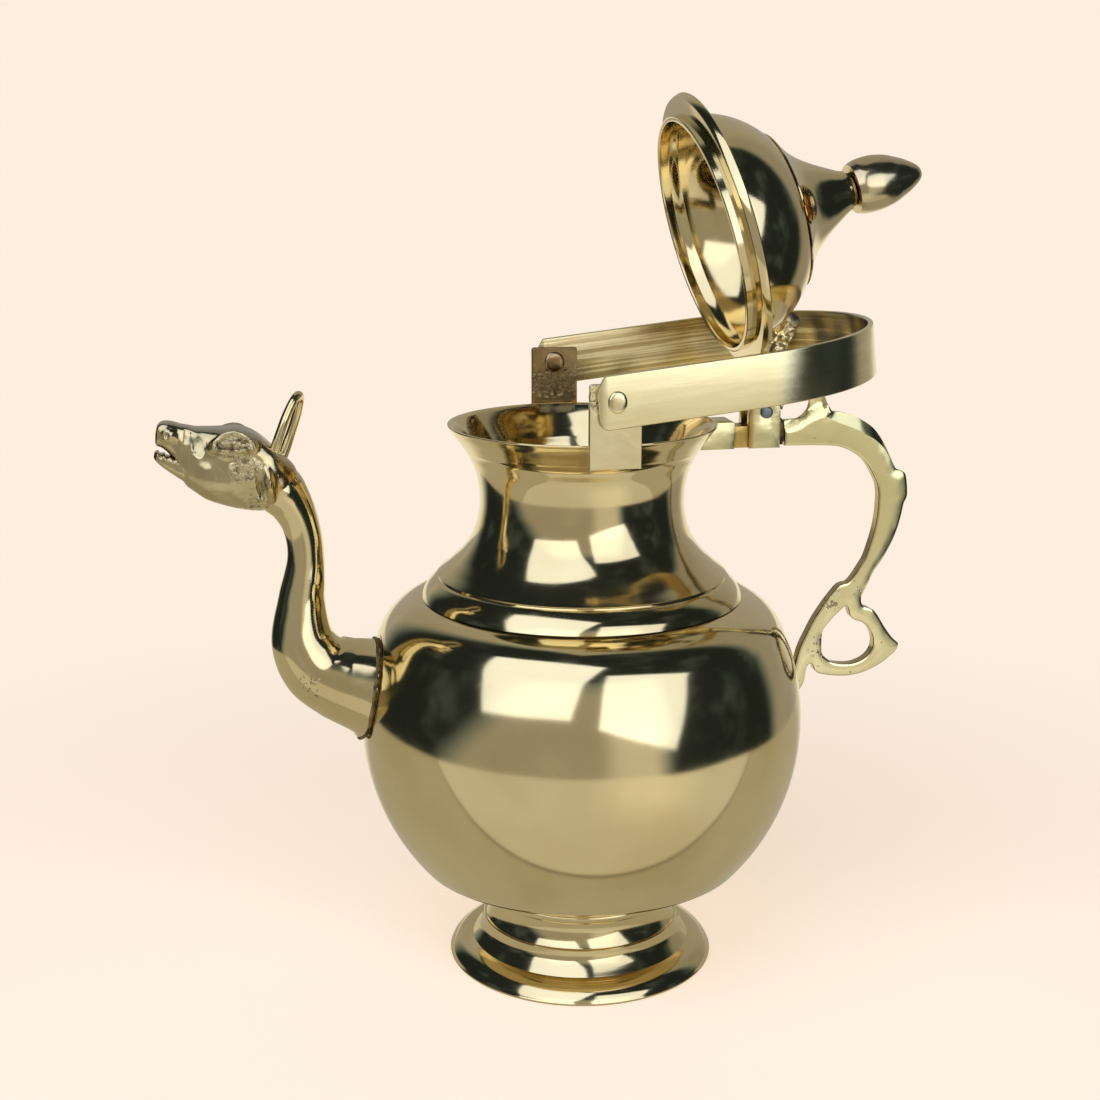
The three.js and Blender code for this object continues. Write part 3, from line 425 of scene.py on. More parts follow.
def make_belly():
    """The outline and the same one wall in, turned about the axis."""
    profile = np.vstack([belly_outline(0), belly_outline(WALL)[::-1]])
    return turned_piece("belly_shell", profile, "pot", "belly", "polished_brass", sharp=32, steps=FINE_STEPS)


# Neck: shoulder band, a concave waist up to a ridge, and the conical lip

def neck_outline(inset):
    """The band, which swells by a half sine wave, and the flare, both drawn in by a wall."""
    share = np.linspace(0, 1, 12)
    band = np.stack([57.45 - 5.25 * share + 0.9 * np.sin(pi * share), NECK_BOTTOM + NECK_BAND * share],
                    axis=-1)
    flare = through([(51.7, NECK_GROOVE + 0.6), (47.5, 149.9), (43.3, 154), (39.7, 159), (37.7, 164),
                     (36.65, 169), (36.4, 173.4), (36.8, 178.6), (38, 184), (40.2, 188.9)], 70)
    return band - (inset, 0), flare - (inset, 0)


def make_neck():
    """Band, groove and flare outside, the lip's funnel, and flare and band one wall in, turned."""
    band, flare = neck_outline(0)
    band_in, flare_in = neck_outline(WALL)
    profile = np.vstack([
        band,
        [(51.6, NECK_GROOVE - 0.35), (51.5, NECK_GROOVE)],
        flare,
        [(40.9, 190.4), (41.5, 191), (41.9, 191.55)],
        through([(42.1, 191.9), (44, 194.6), (45.8, 197), (47.2, 199)], 14),
        through([(47.45, 199.3), (47.6, 199.6), (47.5, 199.88), (47.2, LIP_Z)], 6),
        through([(46.4, 199.85), (45.3, 199.2), (43.4, 196.9), (41.6, 194.2), (39.9, 191.4)], 18),
        flare_in[::-1],
        band_in[::-1],
    ])
    return turned_piece("neck_flare", profile, "pot", "neck", "polished_brass", closes=True,
                        steps=FINE_STEPS)


# Spout: a bent tapering tube. Stations: out from the belly's side, height above the root, radius

SPOUT_STATIONS = [
    (-6, -1.6, 18.4), (-2.5, 0, 17.3), (8, 4, 15), (15.8, 9.3, 13.1), (20.3, 19, 11),
    (20.2, 32.5, 8.3), (19, 40.5, 7.3), (18.2, 47.5, 6.5), (18.4, 54, 6.3), (19.8, 61, 6.6),
    (22.3, 66.8, 7.5), (25.3, 71.2, 8.7), (28.2, 74.5, 9.1),
]


def spout_line(count):
    """The spout's middle line and radius: a smooth curve through the stations."""
    out, up, radius = through(SPOUT_STATIONS, count).T
    return np.stack([-BELLY_RADIUS - out, 0 * out, SPOUT_ROOT_Z + up], axis=-1), radius


def rings_round(line, radius, first, second, sides):
    """Rings round a line: line + r (cos a first + sin a second)."""
    angle = full_turn(sides)[:, None]
    across = np.cos(angle) * first[:, None] + np.sin(angle) * second[:, None]
    return line[:, None] + radius[:, None, None] * across


def tube_rings(middle, radius, sides):
    """Rings square to a line in the XZ plane."""
    tangent = unit(np.gradient(middle, axis=0))
    side = np.stack([tangent[:, 2], 0 * radius, -tangent[:, 0]], axis=-1)
    return rings_round(middle, radius, side, np.broadcast_to((0, 1, 0), side.shape), sides)


def pushed(rings, amount, along_x=1):
    """Moves each point away from its ring's middle by an amount. A small along_x keeps the move
    nearly across the piece."""
    away = (rings - rings.mean(axis=1, keepdims=True)) * (along_x, 1, 1)
    return rings + unit(away) * amount[..., None]


def make_spout():
    """The tube inside and outside, with no point nearer to the belly's middle than its skin."""
    middle, radius = spout_line(150)
    outer = tube_rings(middle, radius, 72)
    outer = pushed(outer, 0.08 * ripple(outer, 13, 4))
    rings = np.concatenate([outer, tube_rings(middle, radius - WALL, 72)[::-1]])
    offset = rings - BELLY_MIDDLE
    distance = np.linalg.norm(offset, axis=2, keepdims=True)
    rings = BELLY_MIDDLE + offset * np.maximum((BELLY_RADIUS + SPOUT_GAP) / distance, 1)
    return ring_piece("spout_tube_body", rings, "pot", "spout_tube", joined=True)


def make_spout_solder():
    """A rough bead round the root, where the tube's surface meets the belly's sphere."""
    sides = 120
    surface = tube_rings(*spout_line(400), sides)
    distance = np.linalg.norm(surface - BELLY_MIDDLE, axis=2)
    ring = surface[(distance > SOLDER_REACH).argmax(axis=0), np.arange(sides)]
    outward = unit(ring - ring.mean(axis=0))
    normal = (ring - BELLY_MIDDLE) / SOLDER_REACH
    size = 0.68 + 0.25 * ripple(ring, 7, 9)
    middle = ring + size[:, None] * (0.1 * outward + 0.2 * normal)
    bead = rings_round(middle, size, 0.75 * outward, 0.9 * normal, 14)
    return ring_piece("spout_root_solder", bead, "pot", "spout_solder_ring", joined=True)


# Animal head. Ribs: crown out, crown up, jaw out, jaw up, half width, from the end of the spout

SKULL_RIBS = [
    (-9, 1.6, 2.6, -8.4, 8.1), (-7.3, 6.1, 3.7, -8.9, 8.9),
    (-4.4, 9.4, 4.3, -8.9, 9.3), (-2.4, 11.3, 6, -8.8, 9.7), (0.2, 13.6, 8.4, -8.5, 9.9),
    (5.3, 18, 13.3, -7.6, 9.8), (11.3, 20.4, 18.6, -6, 9.5), (15.6, 20.4, 21.4, -4.9, 9),
    (19.6, 20.4, 23.9, -3.6, 8.3), (25.3, 20.7, 27.9, -0.5, 6.5), (28.4, 21.4, 29.6, 1.1, 5.4),
    (30.3, 21.8, 31.3, 4.6, 4.9), (32.4, 22.5, 32.7, 9.4, 4.7), (34.3, 22.9, 34.8, 12.2, 4.6),
    (36.4, 22.8, 36.8, 14, 4.3), (37.9, 21.8, 38.4, 14.7, 3.8), (38.6, 19.8, 38.9, 15.4, 2.6),
]
JAW_RIBS = [
    (26, 9.6, 28, 0.4, 4.4), (29.6, 10, 31.6, 3.2, 4.3), (33.2, 10.8, 35.2, 5.9, 4),
    (36.4, 12, 38, 8.3, 3.6), (38.5, 12.8, 39.2, 9.8, 3), (39.3, 12.8, 39.7, 10.7, 2),
]

# Hills and hollows on the side of the head: height, middle out and up, half length, half height, slant
HEAD_FORMS = {
    "brow": (0.5, 12.5, 18.6, 8, 1.6, 0),
    "ear lobe": (2.1, 1.544, 1.6, 2.3, 8.2, 0.14),
    "groove before the lobe": (-1.2, 5, 2, 1.5, 9, 0.14),
    "hollow cheek": (-0.8, 22.5, 12, 4.2, 5.5, 0),
    "nostril boss": (1.9, 34.2, 18.7, 3.8, 3.5, 0),
    "nostril": (-1.7, 35, 18.7, 1.25, 1.1, 0),
    "dip behind the nostril": (-0.7, 28.6, 19, 2.6, 4.6, 0),
    "jowl": (0.5, 15.5, 2.5, 7, 5, 0),
}
EYE = (13.3, 14.9)


def head_rings(ribs, rings, sides, boxy):
    """A loft of slanted ribs. Each is a superellipse: boxy above its middle, where the flat crown turns
    into the cheek, and round below. The first ribs are round like the spout."""
    line = through(ribs, rings)
    crown, jaw = (np.stack([SPOUT_END[0] - line[:, i], 0 * line[:, i], SPOUT_END[1] + line[:, i + 1]],
                           axis=-1)[:, None] for i in (0, 2))
    across = np.cos(full_turn(sides))
    along = np.sin(full_turn(sides))
    roundness = 1 - smooth_step(np.linspace(0, 1, rings), 0.02, 0.26)[:, None]
    power = np.where(along > 0, 2 / boxy + (1 - 2 / boxy) * roundness, 0.9 + 0.1 * roundness)
    tall = np.sign(along) * np.abs(along) ** power
    points = (crown + jaw) / 2 + tall[..., None] * (crown - jaw) / 2
    points[..., 1] = line[:, 4][:, None] * np.sign(across) * np.abs(across) ** power
    return points


def at_head(points):
    """Out, side and height of points from the end of the spout, with the side taken as positive."""
    return SPOUT_END[0] - points[..., 0], np.abs(points[..., 1]), points[..., 2] - SPOUT_END[1]


def head_relief(points):
    """Height to add along the skin in millimetres: lids round a sunken eye, and the forms of the table,
    each a round hill or hollow."""
    out, side, up = at_head(points)
    along = (out - EYE[0]) / 6.7
    eye = np.hypot(along, (up - EYE[1] - 1.2 * (1 - along ** 2)) / 2.7)
    total = 1.4 * bump((eye - 1) / 0.36) + 0.75 * bump(eye / 0.72)
    for height, middle_out, middle_up, half_length, half_height, slant in HEAD_FORMS.values():
        rise = up - middle_up
        total += height * bump(np.hypot((out - middle_out - slant * rise) / half_length, rise / half_height))
    return smooth_step(side, 2.5, 5.5) * total


def make_head():
    """The skull with its relief and chisel marks, and the lower jaw with small teeth on its edge."""
    skull = head_rings(SKULL_RIBS, 170, 168, 4.4)
    out, _, up = at_head(skull)
    chiselled = bump(np.hypot((out - 12) / 12, (up - 12.5) / 9))
    skull = pushed(skull, head_relief(skull) + (0.04 + 0.30 * chiselled) * ripple(skull, 3.2, 12), 0.35)
    jaw = head_rings(JAW_RIBS, 50, 72, 4)
    out, _, up = at_head(jaw)
    top = smooth_step(up - 0.22 * (out - 30), 9, 10)
    teeth = 0.35 * np.sin(out * 2 * pi / 2.1) * top * smooth_step(out, 31, 33)
    jaw = pushed(jaw, teeth + 0.1 * ripple(jaw, 3.5, 21))
    return (ring_piece("head_skull", skull, "pot", "spout_head", sharp=50),
            ring_piece("head_jaw", jaw, "pot", None, sharp=50))


def make_crest():
    """A round wire carried along an arch that leans back and is turned about the upright."""
    base = np.array([SPOUT_END[0] + CREST_ROOT[0], 0, SPOUT_END[1] + CREST_ROOT[1]])
    up = np.array([cos(CREST_LEAN), 0, sin(CREST_LEAN)])
    across = np.array([sin(CREST_YAW), cos(CREST_YAW), 0])
    arch = through([(-0.86, -0.36), (-1, 0), (-1.02, 0.3), (-0.95, 0.62), (-0.58, 0.9), (0, 1),
                    (0.58, 0.9), (0.95, 0.62), (1.02, 0.3), (1, 0), (0.86, -0.36)], 100)
    line = base + arch[:, :1] * CREST_HALF * across + arch[:, 1:] * CREST_HEIGHT * up
    flat = np.broadcast_to(unit(np.cross(across, up)), line.shape)
    side = np.cross(unit(np.gradient(line, axis=0)), flat)
    radius = CREST_WIRE + 0.4 * np.linspace(-1, 1, len(line)) ** 2 + 0.05 * ripple(line, 9, 2)
    rings = rings_round(line, radius, flat, side, 28)
    return ring_piece("crest_wire", rings, "pot", "crest_ring")


# Bail: lugs, rivets, solder, and the strap

def make_lug(which):
    """An upright plate: a rectangle with a quarter circle at either upper corner."""
    bottom = LIP_Z - LUG_DEPTH
    top = bottom + LUG_HEIGHT
    loop = np.vstack([
        [(-LUG_HALF, bottom), (LUG_HALF, bottom)],
        arc((LUG_HALF - LUG_CORNER, top - LUG_CORNER), LUG_CORNER, 0, 90, 8),
        arc((-LUG_HALF + LUG_CORNER, top - LUG_CORNER), LUG_CORNER, 90, 180, 8),
    ])
    return plate_piece(f"lug_plate_{which}", [loop], rounded_edge(0.35), 0.9, 2, "pot",
                       f"bail_lug_{which}", centre_y=SIDES[which] * LUG_MIDDLE)


def make_rivet(which):
    """A shank with an oval domed head outside and a wide hammered tail inside, turned about Y."""
    profile = np.vstack([
        [(0, 48.5)],
        through([(1.8, 48.55), (3.2, 48.75), (3.8, 49.25)], 6),
        [(2, 49.4), (1.9, 49.4), (1.9, 53.8), (2.75, 53.8)],
        through([(2.8, 54), (2.5, 54.35), (1.7, 54.6), (0, 54.7)], 10),
    ])

    def across(points):
        x, y, z = np.moveaxis(points, -1, 0)
        head = z > 53.5
        return np.stack([x * (1 + 0.12 * head), SIDES[which] * z, y * (1 + 0.30 * head) + PIVOT_Z], axis=-1)

    return turned_piece(f"rivet_{which}", profile, "pot", f"bail_rivet_{which}", "satin_brass",
                        place=across, steps=48)


def make_lug_solder(which):
    """A wedge of solder under the lip's edge with a lumpy face."""
    section = through([(49.15, 199.6), (44.4, 199.5), (43.3, 196.4), (47.2, 193.9), (49.15, 193.4)], 26)
    along = np.linspace(-6.7, 6.7, 40)[:, None]
    points = np.stack(np.broadcast_arrays(along, SIDES[which] * section[:, 0], section[:, 1]), axis=-1)
    points[..., 2] -= 0.5 * ripple(points, 6, 5) * (points[..., 2] < 198)
    return ring_piece(f"lug_solder_{which}_bead", points, "pot", f"lug_solder_{which}", sharp=60)


def make_strap():
    """A rounded rectangle carried along the strap's line in plan: straight, half a circle, straight back.
    Near each end the width is drawn in by a corner arc below and a slanted corner above."""
    middle = (STRAP_INNER + STRAP_OUTER) / 2
    thin = (STRAP_OUTER - STRAP_INNER) / 2
    run = STRAP_STRAIGHT + STRAP_TAIL
    turn = run + pi * middle
    total = turn + run
    at = np.concatenate([
        np.linspace(0, 3.4, 18), np.linspace(3.8, run, 40), np.linspace(run, turn, 120)[1:],
        np.linspace(turn, total - 3.8, 40)[1:], np.linspace(total - 3.4, total, 18),
    ])
    angle = np.clip((at - run) / middle, 0, pi)
    normal = np.stack([np.sin(angle), -np.cos(angle), 0 * at], axis=-1)
    base = middle * normal
    base[:, 0] += STRAP_STRAIGHT + np.minimum(at - run, 0) - np.maximum(at - turn, 0)
    ends = np.minimum(at, total - at)
    low = STRAP_ROUND * (1 - np.sqrt(1 - np.clip(1 - ends / STRAP_ROUND, 0, 1) ** 2)) - STRAP_WIDTH / 2
    high = STRAP_WIDTH / 2 - STRAP_CUT[1] * np.clip(1 - ends / STRAP_CUT[0], 0, 1) ** 1.4
    section = []
    for out, level, start in ((1, 1, 0), (-1, 1, 90), (-1, -1, 180), (1, -1, 270)):
        corner = arc((0, 0), STRAP_EDGE, start, start + 90, 5)
        section.append(np.insert(corner + (out * (thin - STRAP_EDGE), 0), 1, level, axis=1))
    out, level, rise = np.vstack(section).T
    wobble = 0.12 * ripple(base, 60, 31)
    rings = base[:, None] + (out + wobble[:, None])[..., None] * normal[:, None]
    half = (high - low)[:, None] / 2 - STRAP_EDGE
    rings[..., 2] = PIVOT_Z + (high + low)[:, None] / 2 + level * half + rise
    return ring_piece("bail_band", on_bail(rings), "bail", "bail_strap")


def lay_strap_uv(piece):
    """The strap's own coordinates: length along the bend and level across it, worked out again from
    each corner's place, in decimetres."""
    mesh = piece.data
    points = vertex_values(mesh.vertices, "co") / MM - (AXIS_X, 0, 0)
    x, y, z = turned_about_y(points, (0, PIVOT_Z), BAIL_LIFT).T
    angle = np.where(x > STRAP_STRAIGHT, np.arctan2(x - STRAP_STRAIGHT, -y), np.where(y < 0, 0, pi))
    along = angle * STRAP_INNER + np.minimum(x - STRAP_STRAIGHT, 0) * np.where(y < 0, 1, -1)
    corners = np.empty(len(mesh.loops), dtype=int)
    mesh.loops.foreach_get("vertex_index", corners)
    uv = np.stack([along[corners], z[corners] - PIVOT_Z], axis=-1) / 100
    mesh.uv_layers.new(name="along").data.foreach_set("uv", uv.ravel())


# Lid: flange, spigot and dome, then the cone, the collar and the bud

def lid_turning(name, profile, node, place=on_lid, **options):
    """A turned piece of the lid, its heights above the flange's underside."""
    return turned_piece(name, np.array(profile) + (0, LID_Z), "lid", node, "polished_brass", place=place,
                        **options)


def dome_line(inset, low, high, count):
    """A quarter ellipse of the dome: r = R sqrt(1 - (t / H)^2)."""
    t = low + (high - low) * np.sin(np.linspace(0, pi / 2, count))
    return np.stack([(DOME_RADIUS - inset) * np.sqrt(1 - (t / (DOME_HEIGHT - inset)) ** 2), t], axis=-1)


def make_dome():
    """Spigot, flange and a quarter ellipse outside, and the same ellipse one wall in, turned."""
    profile = np.vstack([
        [(41.5, -3.4), (41.9, -3.6), (42.1, -3.4), (42.15, -0.1), (42.4, 0), (47.2, 0), (47.7, 0.15)],
        through([(47.95, 0.5), (48.3, 1.2), (48.62, 2.1)], 6),
        through([(48.7, 2.5), (48.5, 2.85), (48, 3)], 5),
        through([(47.2, 3.02), (45, 3.05), (43.2, 3.25), (42.2, 3.7), (41.3, 4.6)], 14),
        dome_line(0, 5.2, 24.9, 60),
        [(28.55, 25.2), (28.1, 25.6), (25.7, 25.6)],
        dome_line(LID_WALL, 3, 25.2, 60)[::-1],
        through([(39.6, 1.8), (40.2, -0.4), (40.3, -3.3), (40.6, -3.6)], 10),
    ])
    return lid_turning("lid_dome_shell", profile, "lid_dome", closes=True, steps=FINE_STEPS)


def make_cone():
    """A hollow-sided cone that steepens up to a narrow neck, turned about the lid's axis."""
    profile = np.vstack([
        [(27.2, 25.9), (27.75, 26.2)],
        through([(27.7, 26.6), (22.9, 29.7), (18.9, 33), (15.6, 36.8), (12.7, 41), (10.2, 45.2),
                 (8.4, 48.4), (7.5, 50.2), (7.3, 50.8)], 80),
        [(7.2, 51.2), (6.8, 51.5), (2.8, 51.5), (2.8, 38.5), (12.4, 33.6), (25.3, 25.9)],
    ])
    return lid_turning("lid_cone_turning", profile, "lid_cone", closes=True)


def make_collar():
    """The bud's stem, a straight bar with one thin collar, turned about the lid's axis."""
    profile = [(0, 41.5), (2.5, 41.5), (2.5, 51.8), (5.6, 51.8), (6, 52.1), (6, 52.9), (5.7, 53.2),
               (2.5, 53.2), (2.5, 62.2), (0, 62.2)]
    return lid_turning("finial_collar", profile, "finial_stem", steps=64)


def make_bud():
    """The bud, whose tip was turned a little off the axis."""
    def leaning(points):
        share = np.clip((points[..., 2] - LID_Z - BUD_Z) / BUD_HEIGHT, 0, 1)
        points[..., 0] += BUD_LEAN * share ** 2
        return on_lid(points)

    profile = np.vstack([
        [(0, 9.5), (2.8, 9.5), (2.8, 0), (8.3, 0)],
        through([(8.7, 0), (9.15, 1.2), (9.6, 2.8), (9.82, 5.4), (9.8, 8.6), (9.35, 11.5), (8.6, 14.4),
                 (7.5, 17), (6, 20.2), (4.3, 23), (3.1, 24.6), (1.9, 25.6), (0, BUD_HEIGHT)], 110),
    ])
    return lid_turning("finial_bud_turning", profile + (0, BUD_Z), "finial_bud", place=leaning, steps=128)


# Lid arm: a rough cast plate from the dome to the pin

def make_lid_arm():
    """The arm's outline runs from the dome's rim over the pin and back, with round stretches as curves
    and arcs. A thinner knuckle joins it round the pin."""
    rim = np.array([DOME_RADIUS, LID_Z])
    pin = np.array(PIN)
    arm = np.vstack([
        rim + [(-9, 19), (-6.3, 20.8), (-4.6, 22.2)],
        through(rim + [(-2.6, 22.9), (-0.2, 21), (1.9, 19.1), (3.6, 17.2), (5.6, 16.3), (7.4, 16.9)], 20),
        through(pin + [(-13.5, 15.2), (-9, 15.2), (-5, 12.9), (-1.6, 8.7), (1.6, 6.4)], 20),
        arc(PIN, 6.2, 84, 172, 14),
        rim + [(15.8, 3.6), (7.8, 3.4), (1.6, 3.9), (0.4, 5), (-0.6, 8), (-2.7, 13), (-5.8, 17.8)],
    ])
    web = np.vstack([
        arc(PIN, 4.9, -130, 60, 30),
        pin + [(0.2, 7.6), (-6, 7.6), (-9.3, 1.9)],
    ])
    edge = rounded_edge(0.9)

    def drop(points, distance):
        """Crumpled along the arm: the size of a ripple drawn out along its length."""
        down = 0.54 * points[:, 0] - 0.84 * points[:, 1]
        across = 0.84 * points[:, 0] + 0.54 * points[:, 1]
        space = np.stack([0.4 * down, 0 * down, across], axis=-1)
        folds = 1.5 * np.abs(ripple(space, 3.4, 8)) * np.clip(distance / 0.8, 0, 1)
        return edge(points, distance) + folds

    return (plate_piece("lid_arm_casting", [arm], drop, 4.8, 1, "lid", "lid_lug",
                        place=on_lid, sharp=50),
            plate_piece("lid_arm_knuckle", [web], rounded_edge(0.3), 3, 1.5, "lid", None,
                        place=on_lid))


# Hinge bracket, pin and solder seams

def worked_copy(name, node, bevel, rough=0, size=4, cuts=0, seed=1):
    """A copy of a plain solid of the pot with broken edges. A soldered one is cut finer and its skin is
    moved along its normal by a gentle unevenness."""
    shell = bmesh.new()
    shell.from_mesh(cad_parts[node].data)
    bmesh.ops.remove_doubles(shell, verts=shell.verts, dist=MERGE / 2)
    bmesh.ops.dissolve_limit(shell, angle_limit=radians(2), verts=shell.verts, edges=shell.edges)
    sharp_edges = [e for e in shell.edges if len(e.link_faces) == 2 and e.calc_face_angle() > radians(35)]
    bmesh.ops.bevel(shell, geom=sharp_edges, offset=bevel * MM, segments=3, profile=0.5, affect="EDGES",
                    clamp_overlap=True)
    bmesh.ops.triangulate(shell, faces=shell.faces)
    for _ in range(cuts):
        long_edges = [e for e in shell.edges if e.calc_length() > 0.9 * MM]
        bmesh.ops.subdivide_edges(shell, edges=long_edges, cuts=1)
        bmesh.ops.triangulate(shell, faces=shell.faces)
    bmesh.ops.recalc_face_normals(shell, faces=shell.faces)
    mesh = bpy.data.meshes.new(name)
    shell.to_mesh(mesh)
    shell.free()
    points = vertex_values(mesh.vertices, "co")
    lift = rough * MM * ripple(points / MM, size, seed)
    moved = points + vertex_values(mesh.vertex_normals, "vector") * lift[:, None]
    mesh.vertices.foreach_set("co", moved.ravel())
    return add_piece(name, mesh, "pot", node, 40)


def make_pin():
    """A round bar with a low rounded head at each end, turned about Y."""
    profile = np.vstack([
        [(0, -7.45), (1.45, -7.42), (1.6, -7.4)],
        through([(1.9, -7.3), (2.1, -7.1), (2.2, -6.85)], 5),
        [(2.2, -6.8), (1.9, -6.8), (1.9, 6.8), (2.2, 6.8)],
        through([(2.2, 6.85), (2.1, 7.1), (1.6, 7.4)], 5),
        [(0, 7.45)],
    ])

    def across(points):
        return points[..., [0, 2, 1]] + (PIN[0], 0, PIN[1])

    return turned_piece("hinge_pin_bar", profile, "pot", "hinge_pin", "steel", place=across, steps=40)


# Side handle: a cast plate with a loop, a bump, a notch, a hooked ear and a wide upper bevel

HANDLE_CREST = through([(92.4, 201.2), (95.9, 200.8), (100.9, 199.3), (105.2, 197), (108.6, 194.5),
                        (111.3, 191.2), (113.6, 187.5), (115.9, 183), (118, 179.1)], 60)
BEVEL_LINE = through([(90.2, 199.4), (94.4, 197.3), (101.1, 194.7), (105.4, 192.4), (108.8, 190.5),
                      (112.4, 187.2), (115.1, 183), (117.7, 179)], 60)
EAR_LINE = np.array([(73, 192.8), (75, 193.6), (79.5, 195.6), (83.5, 197.9), (87.3, 199.8),
                     (91, 200.6)])


def handle_loops():
    """The outline from the crest down the outer side, under the loop, up the inner side to the hinge
    and over the ear, and the loop's hole: smooth curves between corners."""
    outline = np.vstack([
        HANDLE_CREST,
        through([(119.2, 178.8), (121, 177.8), (121.8, 176.2), (122.4, 172.2), (122.5, 168.9),
                 (121.5, 166.6)], 16),
        through([(121.3, 166), (120.4, 161.2), (119, 156), (116.7, 150.3), (113.8, 145.1),
                 (110.8, 140.8), (108.6, 136.1), (107, 132.8)], 36),
        through([(106.3, 131), (106.5, 128.9), (107.5, 127.5), (109.4, 126.9), (111.6, 125.6),
                 (113.5, 123.1), (116.2, 118.8), (119.2, 114.8), (121.3, 112.9)], 30),
        through([(121.9, 112.2), (121.6, 110.4), (120.2, 108.6), (118.8, 107.6), (116.8, 105.8),
                 (114, 104.1), (110.5, 102.5), (106.3, 101.2), (101.4, 100.7), (96.4, 101.1),
                 (92.2, 101.9), (90.2, 102.6)], 44),
        through([(88.9, 103.8), (88.4, 105.4), (87.4, 106.3), (86.4, 105.7), (85.8, 104.2), (85.5, 102.1),
                 (85, 99.4), (83.8, 96.9), (82.3, 94.9)], 22),
        [(79.6, 95.4), (80.2, 101), (81.6, 107.4)],
        through([(81.9, 109), (82.5, 111.4), (83.6, 114.4), (85.5, 118.4), (87.9, 123.2), (90.5, 127.3),
                 (93.1, 131), (96.2, 134.8)], 24),
        through([(97.4, 136), (99, 136.6), (100.9, 137), (102.9, 139.2), (105.2, 142.8),
                 (107.1, 146), (108.7, 150.7), (110.1, 156), (110.9, 160.4), (111.3, 165.3),
                 (111.3, 170.2), (110.6, 173.8), (109, 177.2), (107, 180.6), (104.4, 183.5),
                 (101.4, 185.7), (98, 187.4), (94.7, 188.5), (91, 188.9)], 90),
        [(84.8, 189.2), (74.3, 189.4), (74.3, 198.6)],
        through([(75, 198.7), (77.4, 198.7), (79.8, 198.9), (82, 200.4), (83.6, 203), (83.9, 206.4),
                 (82.8, 210.4), (80.6, 213.8), (79.6, 215.9)], 30),
        through([(80.6, 216.9), (83.6, 214.8), (86.6, 211.6), (88.8, 208), (89.9, 205),
                 (91.4, 202.4)], 20),
    ])
    hole = through([(91.4, 116), (91.6, 110.6), (93.3, 108.2), (96.2, 106.3), (99.8, 105.5), (104, 105.5),
                    (107.8, 106.8), (110.2, 108.7), (111.6, 111.2), (111.8, 114.2), (110.9, 117.1),
                    (108.7, 120.2), (106.5, 121.6), (104.3, 122.3), (102.3, 124), (101.3, 127.2),
                    (100.2, 127.9), (98.3, 126.3), (95.5, 123.6), (92.9, 120.6), (91.7, 118.6),
                    (91.4, 116)], 110)[:-1]
    return [outline, hole]


def handle_drop(points, distance):
    """How far the face lies below flat: a crown that falls towards the edges, a rounded edge, a slope from
    the bevel line up to the crest and one from the ear line up the ear. The casting left a slight ripple."""
    x, z = points.T
    to_line = distance_to(points, BEVEL_LINE, False)
    to_crest = distance_to(points, HANDLE_CREST, False)
    share = to_line / np.maximum(to_line + to_crest, 1e-6)
    bevelled = inside(points, np.vstack([BEVEL_LINE, HANDLE_CREST[::-1]])) | (to_crest < 0.05)
    slope = BEVEL_DEPTH * share * bevelled
    above_ear = z - np.interp(x, *EAR_LINE.T)
    ear = np.clip(0.30 * above_ear, 0, EAR_DEPTH) * (1 - smooth_step(x, 88, 91.5))
    crown = 0.30 * np.clip(1 - distance / 4.5, 0, 1) ** 2
    edge = rounded_edge(0.55)(points, distance)
    uneven = 0.03 * (1 + ripple(np.stack([x, 0 * x, z], axis=-1), 16, 3))
    return np.maximum(np.maximum(slope, ear), edge + crown) + uneven


def make_handle():
    """The plate between its loops, creased along the bevel line."""
    return plate_piece("side_handle_casting", handle_loops(), handle_drop, HANDLE_HALF, 1.1, "pot",
                       "side_handle", creases=[BEVEL_LINE], step=0.5, sharp=17)


# Finishes

BRASS = (0.80, 0.665, 0.375)
BRASS_DEEP = (0.70, 0.555, 0.285)
PALE_BRASS = (0.95, 0.85, 0.50)
PIT_BROWN = (0.12, 0.08, 0.04)


class Value:
    """A socket that takes part in Python sums."""

    def __init__(self, finish, socket):
        self.finish = finish
        self.socket = socket

    def __add__(self, other):
        return self.finish.math("ADD", self, other)

    __radd__ = __add__

    def __sub__(self, other):
        return self.finish.math("SUBTRACT", self, other)

    def __rsub__(self, other):
        return self.finish.math("SUBTRACT", other, self)

    def __mul__(self, other):
        return self.finish.math("MULTIPLY", self, other)

    __rmul__ = __mul__

    def above(self, low, high):
        """0 below low, 1 above high."""
        return self.finish.node("ShaderNodeMapRange", {"Value": self, "From Min": low, "From Max": high},
                                interpolation_type="SMOOTHSTEP")


